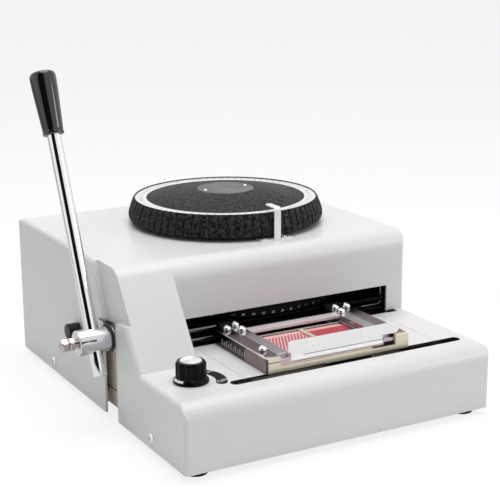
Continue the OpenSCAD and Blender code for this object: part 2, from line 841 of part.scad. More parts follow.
module clamp_bolt() {
    tip = lever_x - lever_d / 2 - 0.2;
    color(chrome) {
        rod_along_x([bolt_x + 6, tip], hub_y, hub_z, 3);
        translate([bolt_x, hub_y, hub_z]) rotate([0, 90, 0])
            cylinder(h = 6, r = bolt_af / 2 / cos(30), $fn = 6);
    }
}

module lock_nut() {
    color(chrome) difference() {
        translate([bolt_x + 7, hub_y, hub_z]) rotate([0, 90, 0]) rotate([0, 0, 12])
            cylinder(h = 5, r = bolt_af / 2 / cos(30), $fn = 6);
        rod_along_x([bolt_x, 0], hub_y, hub_z, 3);
    }
}

module lever_shaft() {
    color(chrome) rod_along_x([hub_x[1] - hub_socket, bracket_x[1]], hub_y, hub_z, shaft_d / 2);
}

// Two equal lobes: each grows steadily over the lever's sweep, then falls back
module spreader_cam() {
    step = 3;
    rise = cam_sweep + 14;
    function radius(a) = a < rise ? cam_r + cam_lift * a / cam_sweep
        : cam_r + cam_lift * rise / cam_sweep * (1 + cos(180 * (a - rise) / (170 - rise))) / 2;
    outline = [for (a = [0 : step : 359])
        let (b = a % 180, r = b < 170 ? radius(b) : cam_r) [r * sin(a), r * cos(a)]];
    color(steel) difference() {
        translate([0, hub_y, hub_z]) along_x(cam_x) polygon(outline);
        rod_along_x([cam_x[0] - 1, cam_x[1] + 1], hub_y, hub_z, shaft_d / 2);
    }
}

// ---- Arms ----

module upper_arm() {
    color(steel) difference() {
        union() {
            block([pad_x[0], arm_y[0], upper_beam_z], [arm_end, arm_y[1], upper_beam_z + arm_h]);
            block([pad_x[0], pad_y[0], upper_pad_z], [pad_x[1], pad_y[1], upper_beam_z + arm_h]);
            block([wheel_x - hammer_w / 2, arm_y[0], upper_nose_z],
                [wheel_x + hammer_w / 2, arm_y[1], upper_beam_z]);
        }
        rod_along_y(arm_x, [0, case_d], upper_pivot_z, arm_pin_r + run_fit);
    }
}

module lower_arm() {
    color(steel) difference() {
        union() {
            block([pad_x[0], arm_y[0], lower_beam_z - arm_h - 2.4], [arm_end, arm_y[1], lower_beam_z]);
            block([pad_x[0], pad_y[0], lower_beam_z - arm_h - 2.4], [pad_x[1], pad_y[1], lower_pad_z]);
            block([wheel_x - hammer_w / 2, arm_y[0], lower_beam_z],
                [wheel_x + hammer_w / 2, arm_y[1], lower_nose_z]);
        }
        rod_along_y(arm_x, [0, case_d], lower_pivot_z, arm_pin_r + run_fit);
    }
}

// ---- Carriage ----

module front_plate() {
    low_z = carriage_z0 + front_low;
    tongue_w = 47;
    color(zinc) {
        block([carriage_x0, front_y[0], carriage_z0], [carriage_x1, front_y[1], low_z]);
        for (x = [[carriage_x0, left_arm_x[0]], [right_arm_x[1], carriage_x1]])
            block([x[0], front_y[0], low_z], [x[1], front_y[1], carriage_z1 - 0.5]);
        block([wheel_x - tongue_w / 2, front_y[0], feed_z[1]], [wheel_x + tongue_w / 2, front_y[1], carriage_z0]);
    }
}

// Fixed bar behind the front plate, raised at both ends
module front_bar() {
    y = [front_y[1], front_y[1] + front_bar_d];
    top = tray_front_z;
    color("rosybrown") {
        block([left_arm_x[0], y[0], carriage_z0], [right_arm_x[1], y[1], tray_z - gap]);
        block([left_arm_x[0], y[0], tray_z - gap], [tray_x[0] - gap, y[1], top]);
        block([tray_x[1] + gap, y[0], tray_z - gap], [right_arm_x[1], y[1], top]);
    }
}

module side_bar(x) {
    color("dimgray") block([x, bar_y[0], carriage_z0], [x + bar_w, bar_y[1], carriage_z1]);
}

module left_bar() {
    marks = 14;
    first_y = 60;
    difference() {
        side_bar(carriage_x0);
        for (k = [0 : marks - 1]) {
            long = mark_l[k % 2];
            y = first_y + 4 * k;
            block([carriage_x0 - 1, y - 0.3, carriage_z0 + 3], [carriage_x0 + 0.3, y + 0.3, carriage_z0 + 3 + long]);
        }
    }
}

module right_bar() {
    side_bar(carriage_x1 - bar_w);
}

// Arm with the ledge that the card tray slides on; side is 1 for the left arm
module carriage_arm(x, side) {
    ledge = side > 0 ? [x[1], x[1] + ledge_w] : [x[0] - ledge_w, x[0]];
    y0 = bar_y[0] + front_bar_d;
    color("lightgray") {
        block([x[0], y0, carriage_z0], [x[1], bar_y[1], carriage_z1]);
        block([ledge[0], y0, tray_z - gap - 2.4], [ledge[1], bar_y[1], tray_z - gap]);
    }
}

module left_arm() {
    carriage_arm(left_arm_x, 1);
}

module right_arm() {
    carriage_arm(right_arm_x, -1);
}

module cross_bar() {
    color(chrome) block([left_arm_x[1], cross_y[0], tray_front_z + gap], [right_arm_x[0], cross_y[1], carriage_z1]);
}

module slider_blocks() {
    color(steel) difference() {
        for (x = [left_arm_x[1] - block_w, right_arm_x[0]])
            block([x, block_y[0], block_z[0]], [x + block_w, block_y[1], block_z[1]]);
        for (z = rod_z) rod_along_x([0, case_w], rod_y, z, rod_d / 2 + run_fit);
    }
}

// Screws of the carriage: distances from its sides or its arms, and from its back
screw_in = [8.1, 7.7, 6.2, 5.3, 6.1, 5, 6.6];
screw_back = [11.2, 75, 5, 19.3, 5.9, 17.9, 6.9];
screw_from = [carriage_x0, carriage_x0, left_arm_x[0], left_arm_x[0], right_arm_x[0], right_arm_x[0],
    carriage_x1 - 2 * screw_in[6]];
screw_places = [for (k = [0 : len(screw_in) - 1]) [screw_from[k] + screw_in[k], bar_y[1] - screw_back[k]]];

module carriage_screws() {
    color(chrome) for (p = screw_places) domed_head(p[0], p[1], carriage_z1, screw_d, 3);
}

// Straight rack: trapezoid teeth with 20 degree flanks
module feed_rack() {
    tip = feed_y + feed_m;
    root = feed_y - 1.25 * feed_m;
    back = front_y[0] - 2;
    half = (feed_pitch - backlash) / 4;
    tip_half = half - feed_m * tan(20);
    root_half = half + 1.25 * feed_m * tan(20);
    count = floor((carriage_w - 8) / feed_pitch / 2);
    teeth = [for (k = [-count : count]) let (x = carriage_mid + k * feed_pitch)
        each [[x - root_half, root], [x - tip_half, tip], [x + tip_half, tip], [x + root_half, root]]];
    color(steel) translate([0, 0, feed_z[0]]) linear_extrude(feed_z[1] - feed_z[0])
        polygon(concat([[carriage_x0, back], [carriage_x0, root]], teeth,
            [[carriage_x1, root], [carriage_x1, back]]));
}

// A tooth of the rack stands at the pinion's centre line when the carriage rests
carriage_mid = wheel_x + round((carriage_x0 + carriage_w / 2 - wheel_x) / feed_pitch) * feed_pitch;

// Involute flank at base radius rb: the point where the string has turned by a
function involute(rb, a) = let (t = a * PI / 180) rb * [cos(a) + t * sin(a), sin(a) - t * cos(a)];
function turned(p, a) = [p[0] * cos(a) - p[1] * sin(a), p[0] * sin(a) + p[1] * cos(a)];

module feed_pinion() {
    rb = feed_r * cos(20);
    ra = feed_r + feed_m;
    rf = feed_r - 1.25 * feed_m;
    a_tip = sqrt(ra * ra / (rb * rb) - 1) * 180 / PI;
    lead = (tan(20) * 180 / PI - 20);
    half = 90 / feed_teeth - backlash / 4 / feed_r * 180 / PI;
    steps = 5;
    tooth = concat([turned([rf - 0.5, 0], -half - lead)],
        [for (k = [0 : steps]) turned(involute(rb, a_tip * k / steps), -half - lead)],
        [for (k = [steps : -1 : 0]) let (p = involute(rb, a_tip * k / steps)) turned([p[0], -p[1]], half + lead)],
        [turned([rf - 0.5, 0], half + lead)]);
    color(bronze) {
        translate([wheel_x, pinion_y, feed_z[0]]) difference() {
            linear_extrude(feed_z[1] - feed_z[0]) {
                circle(rf);
                for (k = [0 : feed_teeth - 1]) rotate(-90 + 360 * (k + 0.5) / feed_teeth) polygon(tooth);
            }
        }
        rod_along_z(wheel_x, pinion_y, [floor_z + 3 + gap, feed_z[1] + 2], feed_shaft_r);
        rod_along_z(wheel_x, pinion_y, [feed_z[0] - 3 + gap, feed_z[0]], feed_shaft_r + 3);
    }
}

// ---- Card tray ----

module card_tray() {
    rail_w = 2.5;
    color("rosybrown") {
        block([tray_x[0], front_y[1] + gap, tray_z], [tray_x[1], tray_back, tray_z + tray_t]);
        block([tray_x[0], tab_y[1], tray_z], [tray_x[1], front_y[1] + front_bar_d + 1, tray_front_z]);
        block([tray_x[0], front_y[1] + gap, tray_z], [tray_x[1], tab_y[0], tray_front_z - 0.6]);
        for (x = [tray_x[0], tray_x[1] - rail_w])
            block([x, rail_y0, tray_z], [x + rail_w, card_y1 + 3, rail_top]);
    }
}

// Its foot stands between the arms, and its ends reach over them
module tab_plate() {
    r = 4;
    over = carriage_z1 + gap;
    foot = tray_z + tray_t;
    top = card_z + 1 + tab_h;
    cut = 6;
    color("whitesmoke") along_y(tab_y) difference() {
        rounded(tab_x, [foot - 2 * r, top], r);
        translate([tab_x[0] - 1, low]) square([tab_x[1] - tab_x[0] + 2, foot - low]);
        translate([tab_x[0] - 1, low]) square([tray_x[0] - tab_x[0] + 1, over - low]);
        translate([tray_x[1], low]) square([tab_x[1] - tray_x[1] + 1, over - low]);
        polygon([[tab_x[1] - cut, over - 1], [tab_x[1] + 1, over - 1], [tab_x[1] + 1, over + cut + 1],
            [tab_x[1], over + cut]]);
    }
}

// Rails across the tray behind the card
module card_rail() {
    color(chrome) {
        block([tray_x[0] + 2.5, card_y1 + gap, tray_z], [tray_x[1] - 2.5, card_y1 + 1.5, rail_top]);
        block([tray_x[0] + 2.5, card_y1 + 1.5, tray_z], [tray_x[1] - 2.5, card_y1 + 3, tray_z + tray_t]);
    }
}

// Strip that holds the card down
module card_clip() {
    x = wheel_x - 10.5;
    z = card_base + card_t + 0.1;
    color(zinc) block([x, front_y[1] + front_bar_d + 1, z], [x + 4, card_y1 + gap, rail_top]);
}

module card() {
    r = 3.2;
    color("indianred") translate([0, 0, card_base]) linear_extrude(card_t)
        rounded([card_x0, card_x0 + card_l], [card_y0, card_y1], r);
}

// ---- Knob ----

module knob_body() {
    body_r = knob_d / 2 - 2.2;
    flutes = 10;
    flute_r = 4;
    skirt_h = 4;
    bore_h = 11;
    z0 = deck_z + gap;
    z1 = deck_z + knob_h - 1;
    color(black) translate([knob_x, knob_y, z0]) difference() {
        union() {
            rotate_extrude() polygon([[0, 0], [knob_d / 2, 0], [knob_d / 2, skirt_h / 2], [body_r, skirt_h],
                [0, skirt_h]]);
            translate([0, 0, skirt_h - 1]) linear_extrude(z1 - z0 - skirt_h) difference() {
                circle(body_r);
                for (k = [0 : flutes - 1]) rotate(360 * (k + 0.5) / flutes)
                    translate([body_r + flute_r - 1, 0]) circle(flute_r);
            }
            translate([0, 0, z1 - z0 - 2]) cylinder(h = 2, r = body_r - 1.6);
        }
        translate([0, 0, -1]) cylinder(h = bore_h + 1, r = 3);
    }
}

module knob_cap() {
    color(chrome) rod_along_z(knob_x, knob_y, [deck_z + knob_h - 1, deck_z + knob_h], 9);
}

// Shaft with the stop cam that the knob turns under the deck
module knob_shaft() {
    color(steel) {
        rod_along_z(knob_x, knob_y, [deck_z - 20, deck_z + gap + 11], 3);
        difference() {
            rod_along_z(knob_x + 3, knob_y, [deck_z - 18, deck_z - 13], 8);
            rod_along_z(knob_x, knob_y, [deck_z - 19, deck_z - 12], 3);
        }
        rod_along_z(knob_x, knob_y, [deck_z - wall - 2, deck_z - wall - gap], 6);
    }
}

translate([-origin_x, -origin_y, foot_h]) {
    casing();
    deck_plate();
    base_plate();
    rubber_feet();
    casing_screws();
    side_plate_left();
    side_plate_right();
    top_bridge();
    upper_bearing();
    lower_bearing();
    shaft_bush();
    shaft_bracket();
    guide_rods();
    rod_posts();
    upper_arm_bracket();
    lower_arm_bracket();
    arm_pins();
    pointer();
    pointer_screws();
    knob_label();
    side_stop();
    return_spring();
    spring_drum();
    mouth_frame();
    dial_wheel();
    dial_ring();
    dial_badge();
    spindle();
    upper_type_wheel();
    lower_type_wheel();
    upper_type_pins();
    lower_type_pins();
    lever_rod();
    lever_grip();
    lever_hub();
    clamp_bolt();
    lock_nut();
    lever_shaft();
    spreader_cam();
    upper_arm();
    lower_arm();
    front_plate();
    front_bar();
    left_bar();
    right_bar();
    left_arm();
    right_arm();
    cross_bar();
    slider_blocks();
    carriage_screws();
    feed_rack();
    card_tray();
    tab_plate();
    card_rail();
    card_clip();
    card();
    knob_body();
    knob_cap();
    knob_shaft();
    feed_pinion();
}
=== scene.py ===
import math
import bpy
import numpy as np
from mathutils import Matrix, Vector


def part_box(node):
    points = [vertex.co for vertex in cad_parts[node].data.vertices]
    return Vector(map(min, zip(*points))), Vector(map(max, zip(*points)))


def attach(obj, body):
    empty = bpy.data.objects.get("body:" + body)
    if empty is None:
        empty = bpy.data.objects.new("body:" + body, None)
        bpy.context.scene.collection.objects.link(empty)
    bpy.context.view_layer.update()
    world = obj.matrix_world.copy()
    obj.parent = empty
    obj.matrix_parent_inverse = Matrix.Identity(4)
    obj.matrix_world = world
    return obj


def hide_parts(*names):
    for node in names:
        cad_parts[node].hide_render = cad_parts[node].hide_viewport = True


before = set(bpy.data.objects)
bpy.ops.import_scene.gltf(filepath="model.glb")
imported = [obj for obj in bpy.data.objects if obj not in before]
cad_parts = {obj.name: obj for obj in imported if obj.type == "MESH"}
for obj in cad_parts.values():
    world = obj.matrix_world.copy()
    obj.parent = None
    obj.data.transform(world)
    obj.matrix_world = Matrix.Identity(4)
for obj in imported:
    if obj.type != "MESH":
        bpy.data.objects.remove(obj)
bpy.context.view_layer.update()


# ---- Camera ----
# The photograph looks down on the front left corner of the machine through a
# long lens, from a little above the lever's grip.
EYE = (-0.54132, -1.03045, 0.43342)
YAW, PITCH, ROLL = math.radians(29.127), math.radians(14.57), math.radians(-0.334)
FOCAL_LENGTH, SENSOR_WIDTH = 93.72, 36.0
forward = np.array([math.sin(YAW) * math.cos(PITCH), math.cos(YAW) * math.cos(PITCH), -math.sin(PITCH)])
level = np.array([math.cos(YAW), -math.sin(YAW), 0.0])
upright = np.cross(level, forward)
right = math.cos(ROLL) * level + math.sin(ROLL) * upright
up = math.cos(ROLL) * upright - math.sin(ROLL) * level


def set_down(axes, spot):
    """The matrix that puts an object at spot, with its x, y and z along three unit axes."""
    return Matrix([[*row, e] for row, e in zip(np.array(axes).T, spot)] + [[0, 0, 0, 1]])


lens = bpy.data.cameras.new("camera")
lens.lens, lens.sensor_width, lens.sensor_fit = FOCAL_LENGTH, SENSOR_WIDTH, "HORIZONTAL"
lens.clip_start, lens.clip_end = 0.05, 50
camera = bpy.data.objects.new("camera", lens)
bpy.context.collection.objects.link(camera)
camera.matrix_world = set_down([right, up, -forward], EYE)
bpy.context.scene.camera = camera
bpy.context.scene.view_settings.view_transform = "Standard"


# ---- Table, room and lamps ----
# A white table under one broad soft lamp, with a weaker one to the right. Bright
# metal mirrors a white room that has a dark strip behind the camera, to its left.
def wired(tree, kind, *links, **settings):
    """Adds one node. A setting is an attribute of the node. A link is a socket, and its value or its source."""
    made = tree.nodes.new(kind)
    for name, value in settings.items():
        setattr(made, name, value)
    for socket, value in links:
        if isinstance(value, bpy.types.NodeSocket):
            tree.links.new(value, made.inputs[socket])
        else:
            made.inputs[socket].default_value = value
    return made


def reckon(tree, operation, *values, **settings):
    """The output of a Math node that works on values or sockets."""
    return wired(tree, "ShaderNodeMath", *enumerate(values), operation=operation, **settings).outputs[0]


def blend(tree, factor, below, above):
    """The colour that goes from below to above as the factor goes from 0 to 1."""
    return wired(tree, "ShaderNodeMix", ("Factor", factor), (6, below), (7, above), data_type="RGBA").outputs[2]


def carried(tree, value, source, target):
    """A value carried from the source range to the target range, where it stops at the ends."""
    return wired(tree, "ShaderNodeMapRange", ("Value", value), ("From Min", source[0]), ("From Max", source[1]),
                 ("To Min", target[0]), ("To Max", target[1])).outputs[0]


def bare(material_name):
    """A material with an empty node tree, and its output node."""
    finish = bpy.data.materials.new(material_name)
    finish.use_nodes = True
    finish.node_tree.nodes.clear()
    return finish, finish.node_tree, finish.node_tree.nodes.new("ShaderNodeOutputMaterial")


def mesh_piece(name, points, faces, finish, sharp=35.0):
    """A mesh object at the origin, its faces turned outwards if it is closed, and creased past sharp degrees."""
    mesh = bpy.data.meshes.new(name)
    mesh.from_pydata(np.asarray(points, float).reshape(-1, 3).tolist(), [], faces)
    mesh.update()
    mesh.calc_loop_triangles()
    corners = np.empty(3 * len(mesh.loop_triangles), np.int32)
    mesh.loop_triangles.foreach_get("vertices", corners)
    a, b, c = np.asarray(points, float).reshape(-1, 3)[corners.reshape(-1, 3)].transpose(1, 0, 2)
    if np.einsum("ij,ij->", a, np.cross(b, c)) < 0:
        mesh.flip_normals()
    mesh.shade_smooth()
    mesh.set_sharp_from_angle(angle=math.radians(sharp))
    mesh.materials.append(finish)
    piece = bpy.data.objects.new(name, mesh)
    bpy.context.collection.objects.link(piece)
    return piece


# The camera sees the table mostly by its own glow, so that it is white there and still takes the shadow
TABLE_GLOW, GLOW_SHARE = 1.06, 0.78
table_top, tree, out = bare("table_top")
rays = wired(tree, "ShaderNodeLightPath")
matte = wired(tree, "ShaderNodeBsdfDiffuse", ("Color", (0.9, 0.9, 0.9, 1)))
glow = wired(tree, "ShaderNodeEmission", ("Color", (1, 1, 1, 1)), ("Strength", TABLE_GLOW))
share = reckon(tree, "MULTIPLY", rays.outputs["Is Camera Ray"], GLOW_SHARE)
mixed = wired(tree, "ShaderNodeMixShader", ("Fac", share), (1, matte.outputs[0]), (2, glow.outputs[0]))
tree.links.new(mixed.outputs[0], out.inputs["Surface"])
TABLE_HALF, TABLE_N, TABLE_Z = 6.0, 9, -0.0002
span = np.linspace(-TABLE_HALF, TABLE_HALF, TABLE_N)
table_x, table_y = np.meshgrid(span, span, indexing="ij")
first = (np.arange(TABLE_N - 1)[:, None] * TABLE_N + np.arange(TABLE_N - 1)[None, :]).ravel()
table = mesh_piece("table", np.stack([table_x, table_y, np.full_like(table_x, TABLE_Z)], -1),
                   np.stack([first, first + TABLE_N, first + TABLE_N + 1, first + 1], 1).tolist(), table_top)

# The strip runs from floor to ceiling: it lies where the level direction is within a few degrees of STRIP_YAW
STRIP_YAW, STRIP_EDGE, STRIP_DARK = YAW + 0.24, (0.835, 0.875), (0.006, 0.006, 0.008, 1)
ROOM_COLOUR, ROOM_LIGHT, MIRRORED_LIGHT = (0.95, 0.96, 0.98, 1), 0.36, 1.0
world = bpy.data.worlds.new("studio")
world.use_nodes = True
bpy.context.scene.world = world
tree = world.node_tree
tree.nodes.clear()
rays = wired(tree, "ShaderNodeLightPath")
way = wired(tree, "ShaderNodeTexCoord")
level_way = wired(tree, "ShaderNodeVectorMath", (0, way.outputs["Generated"]), (1, (1, 1, 0)),
                  operation="MULTIPLY")
unit_way = wired(tree, "ShaderNodeVectorMath", (0, level_way.outputs[0]), operation="NORMALIZE")
facing = wired(tree, "ShaderNodeVectorMath", (0, unit_way.outputs[0]),
               (1, (-math.sin(STRIP_YAW), -math.cos(STRIP_YAW), 0.0)), operation="DOT_PRODUCT")
strip = wired(tree, "ShaderNodeValToRGB", ("Fac", facing.outputs["Value"]))
for stop, position, colour in zip(strip.color_ramp.elements, STRIP_EDGE, ((1, 1, 1, 1), STRIP_DARK)):
    stop.position, stop.color = position, colour
room = wired(tree, "ShaderNodeBackground", ("Color", ROOM_COLOUR), ("Strength", ROOM_LIGHT))
mirrored = wired(tree, "ShaderNodeBackground", ("Color", strip.outputs["Color"]), ("Strength", MIRRORED_LIGHT))
white = wired(tree, "ShaderNodeBackground", ("Color", (1, 1, 1, 1)), ("Strength", 1.0))
seen = reckon(tree, "ADD", rays.outputs["Is Camera Ray"], rays.outputs["Is Transmission Ray"], use_clamp=True)
lit = wired(tree, "ShaderNodeMixShader", ("Fac", rays.outputs["Is Glossy Ray"]), (1, room.outputs[0]),
            (2, mirrored.outputs[0]))
shown = wired(tree, "ShaderNodeMixShader", ("Fac", seen), (1, lit.outputs[0]), (2, white.outputs[0]))
wired(tree, "ShaderNodeOutputWorld", ("Surface", shown.outputs[0]))


def soft_lamp(name, spot, aim, width, watts):
    """A square area lamp of the given width at spot, turned to aim."""
    lamp = bpy.data.lights.new(name, "AREA")
    lamp.shape, lamp.size, lamp.energy = "SQUARE", width, watts
    made = bpy.data.objects.new(name, lamp)
    bpy.context.collection.objects.link(made)
    back = np.array(spot, float) - np.array(aim, float)
    back /= np.linalg.norm(back)
    side = np.cross((0.0, 1.0, 0.0), back)
    side /= np.linalg.norm(side)
    made.matrix_world = set_down([side, np.cross(back, side), back], spot)


LAMP_AIM = (0.0, 0.0, 0.1)
soft_lamp("lamp_overhead", (0.0, 0.0, 1.7), LAMP_AIM, 1.4, 21.0)
soft_lamp("lamp_right", (1.4, -1.2, 0.9), LAMP_AIM, 0.6, 6.0)


# ---- Frame inside the casing ----
# A thick bottom plate carries two side plates and the bridge over them, all
# zinc plated, with grey castings as brackets and bearings of turned bronze.
def effect_group(name, sockets_in, sockets_out):
    """An empty shader node group with its sockets made: (name, kind) or (name, kind, value) each."""
    made = bpy.data.node_groups.new(name, "ShaderNodeTree")
    for socket in sockets_in:
        entry = made.interface.new_socket(socket[0], in_out="INPUT", socket_type="NodeSocket" + socket[1])
        if len(socket) > 2:
            entry.default_value = socket[2]
    for socket in sockets_out:
        made.interface.new_socket(socket[0], in_out="OUTPUT", socket_type="NodeSocket" + socket[1])
    return made, made.nodes.new("NodeGroupInput").outputs, made.nodes.new("NodeGroupOutput").inputs


# Edges of another colour, where the normal of a rounded edge differs from the face's own. On some finishes they
# are paler by rubbing, and on others they are a painted highlight.
edge_tree, given, gives = effect_group(
    "worn_and_sheen_edges", [("Radius", "Float", 0.0006), ("Height", "Float"), ("Depth", "Float", 0.0001)],
    [("Mask", "Float"), ("Normal", "Vector")])
rounding = wired(edge_tree, "ShaderNodeBevel", ("Radius", given["Radius"]), samples=4)
own = wired(edge_tree, "ShaderNodeNewGeometry")
alike = wired(edge_tree, "ShaderNodeVectorMath", (0, rounding.outputs[0]), (1, own.outputs["Normal"]),
              operation="DOT_PRODUCT")
mask = carried(edge_tree, alike.outputs["Value"], (0.995, 0.9), (0.0, 1.0))
relief = wired(edge_tree, "ShaderNodeBump", ("Height", given["Height"]), ("Distance", given["Depth"]),
               ("Normal", rounding.outputs[0]))
edge_tree.links.new(mask, gives["Mask"])
edge_tree.links.new(relief.outputs[0], gives["Normal"])

# Uneven surface: broad drifts for colour and gloss, and a fine grain that may be drawn out along an axis
uneven, given, gives = effect_group(
    "uneven_surface",
    [("Drift Scale", "Float", 12.0), ("Grain Scale", "Float", 1500.0), ("Stretch", "Vector", (1, 1, 1))],
    [("Drift", "Float"), ("Grain", "Float")])
spot = wired(uneven, "ShaderNodeTexCoord")
pulled = wired(uneven, "ShaderNodeVectorMath", (0, spot.outputs["Object"]), (1, given["Stretch"]),
               operation="MULTIPLY")
broad = wired(uneven, "ShaderNodeTexNoise", ("Vector", spot.outputs["Object"]), ("Scale", given["Drift Scale"]),
              ("Detail", 3.0))
fine = wired(uneven, "ShaderNodeTexNoise", ("Vector", pulled.outputs[0]), ("Scale", given["Grain Scale"]),
             ("Detail", 2.0))
uneven.links.new(broad.outputs["Fac"], gives["Drift"])
uneven.links.new(fine.outputs["Fac"], gives["Grain"])


def worn_and_sheen_finish(name, colour, other, edge_wear_and_sheen, rough, metal=0.0, grain=1500.0, depth=0.00003, radius=0.0005,
                drift=14.0, stretch=(1, 1, 1), edge_strength=1.0, coat=0.0, specular=0.5, pattern=None):
    """A finish that drifts between two colours and two roughnesses, with a grain and edges that turn to another
    colour: paler by rubbing on some finishes, and a painted highlight on others.

    pattern may be a function of the tree and the drifting colour, which returns the socket to use in its place.
    """
    finish, tree, out = bare(name)
    drifts = wired(tree, "ShaderNodeGroup", node_tree=uneven)
    drifts.inputs["Drift Scale"].default_value = drift
    drifts.inputs["Grain Scale"].default_value = grain
    drifts.inputs["Stretch"].default_value = stretch
    rim = wired(tree, "ShaderNodeGroup", node_tree=edge_tree)
    rim.inputs["Radius"].default_value = radius
    rim.inputs["Depth"].default_value = depth
    tree.links.new(drifts.outputs["Grain"], rim.inputs["Height"])
    tint = blend(tree, drifts.outputs["Drift"], (*colour, 1), (*other, 1))
    painted = tint if pattern is None else pattern(tree, tint)
    edged = blend(tree, reckon(tree, "MULTIPLY", rim.outputs["Mask"], edge_strength), painted, (*edge_wear_and_sheen, 1))
    gloss = carried(tree, drifts.outputs["Drift"], (0.3, 0.7), rough)
    shader = wired(tree, "ShaderNodeBsdfPrincipled", ("Base Color", edged), ("Roughness", gloss),
                   ("Normal", rim.outputs["Normal"]), ("Metallic", metal), ("Coat Weight", coat),
                   ("Coat Roughness", 0.12), ("Specular IOR Level", specular))
    tree.links.new(shader.outputs[0], out.inputs["Surface"])
    return finish


def dress(finish, *names):
    """Puts one finish on CAD nodes."""
    for name in names:
        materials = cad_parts[name].data.materials
        materials.clear()
        materials.append(finish)


corner = np.array(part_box("casing")[0])


def mm(points):
    """Points in millimetres from the casing's lower front left corner, as metres in the frame."""
    return corner + np.asarray(points, float) / 1000


def box_mm(name):
    """The two corners of a CAD node's box, in millimetres from the casing's corner."""
    return 1000 * (np.array(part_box(name)) - corner)


def tinted(colour, *boxes, under=None):
    """A pattern that gives one colour to the surface inside boxes, each told by two corners in millimetres: a
    place is inside where its distance from the box's middle is at most half its size along all three axes. A
    pattern under it comes first."""
    def pattern(tree, ground):
        ground = ground if under is None else under(tree, ground)
        spot = wired(tree, "ShaderNodeTexCoord")
        split = wired(tree, "ShaderNodeSeparateXYZ", (0, spot.outputs["Object"]))
        for near, far in boxes:
            inside = 1.0
            for axis, (low, high) in enumerate(zip(mm(near), mm(far))):
                test = reckon(tree, "COMPARE", split.outputs[axis], (low + high) / 2, (high - low) / 2)
                inside = reckon(tree, "MULTIPLY", inside, test)
            ground = blend(tree, inside, ground, (*colour, 1))
        return ground
    return pattern


# Black where the plates lie in deep shade: the joint above the bottom plate, and all that is behind the left plate
PLATE_JOINT, BEHIND_PLATE = ((-5, 100, 19.2), (30, 200, 20.3)), ((31, 60, 30), (300, 360, 134))
plate_zinc = worn_and_sheen_finish("plate_zinc", (0.86, 0.78, 0.62), (0.90, 0.80, 0.70), (0.92, 0.88, 0.78), (0.3, 0.45),
                         metal=0.2, grain=1100.0, drift=30.0,
                         pattern=tinted((0.02, 0.02, 0.02), PLATE_JOINT, BEHIND_PLATE))
cast_grey = worn_and_sheen_finish("cast_grey", (0.10, 0.10, 0.105), (0.15, 0.15, 0.155), (0.3, 0.3, 0.3), (0.5, 0.65),
                        metal=0.6, grain=600.0, depth=0.00008)
turned_bronze = worn_and_sheen_finish("turned_bronze", (0.45, 0.27, 0.12), (0.55, 0.35, 0.17), (0.8, 0.6, 0.35), (0.3, 0.4),
                            metal=1.0, grain=900.0, stretch=(1, 1, 6))
dress(plate_zinc, "base_plate", "side_plate_left", "side_plate_right", "top_bridge")
dress(cast_grey, "upper_arm_bracket", "lower_arm_bracket", "shaft_bracket")
dress(turned_bronze, "upper_bearing", "lower_bearing", "shaft_bush")


# ---- Rubber feet ----
# Four black moulded rubber feet with a rounded foot ring and a hollow sole,
# each pressed into a hole of the bottom plate by its stem.
def closed_skins(name, shapes, finish, looped=False, sharp=35.0):
    """One piece of several skins. A skin's rows are rings of points: each point is joined to the next one in its
    ring and to the same one in the next ring. The ends are closed by flat faces, or joined to each other if
    looped."""
    points, faces, base = [], [], 0
    for rows in shapes:
        rows = np.asarray(rows, float)
        m, n = rows.shape[:2]
        i, j = np.meshgrid(np.arange(m if looped else m - 1), np.arange(n), indexing="ij")
        a, b, k = i * n + j, i * n + (j + 1) % n, (i + 1) % m * n
        faces += (base + np.stack([a, b, k + (j + 1) % n, k + j], -1).reshape(-1, 4)).tolist()
        if not looped:
            faces += [list(range(base + n - 1, base - 1, -1)), list(range(base + (m - 1) * n, base + m * n))]
        points.append(rows.reshape(-1, 3))
        base += m * n
    return mesh_piece(name, np.concatenate(points), faces, finish, sharp)


def turned(profile, spot, axis=(0, 0, 1), columns=96, phase=0.0, shape=None):
    """Rings of a turned shape: the ring at (radius r, height h) has the points
    spot + h axis + r (cos a u + sin a v), with u and v square to the axis. columns is their number or their
    angles, and shape(a, r, h) may give another radius for each angle a. All is in the casing's millimetres."""
    w = np.array(axis, float) / np.linalg.norm(axis)
    u = np.cross((0, 1, 0), w) if abs(w[2]) > 0.5 else np.cross((0, 0, 1), w)
    u /= np.linalg.norm(u)
    v = np.cross(w, u)
    r, h = np.array(profile, float).T[:, :, None]
    a = (2 * np.pi * np.arange(columns) / columns + phase)[None, :] if np.isscalar(columns) else columns[None, :]
    r = r + 0 * a if shape is None else shape(a, r, h)
    rings = np.cos(a)[..., None] * u + np.sin(a)[..., None] * v
    return mm(np.array(spot, float) + h[..., None] * w + r[..., None] * rings)


soft_rubber = worn_and_sheen_finish("soft_rubber", (0.012, 0.012, 0.012), (0.022, 0.022, 0.022), (0.05, 0.05, 0.05),
                          (0.6, 0.75), grain=700.0, depth=0.00006, specular=0.25)
FOOT_SPOTS = [(17, 17), (283, 17), (17, 300), (283, 300)]
foot = [(0.5, -4.6), (6.6, -4.6), (7.2, -5.2), (7.6, -6), (9.2, -6), (9.9, -5.7), (10.3, -5), (10.6, -3.4),
        (10.95, -0.6), (10.95, 3.0), (10.6, 3.9), (3, 3.95), (3, 9.5), (0.5, 9.9)]
feet = closed_skins("feet", [turned(foot, (x, y, 0), columns=64) for x, y in FOOT_SPOTS], soft_rubber)
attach(feet, "root")
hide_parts("rubber_feet")


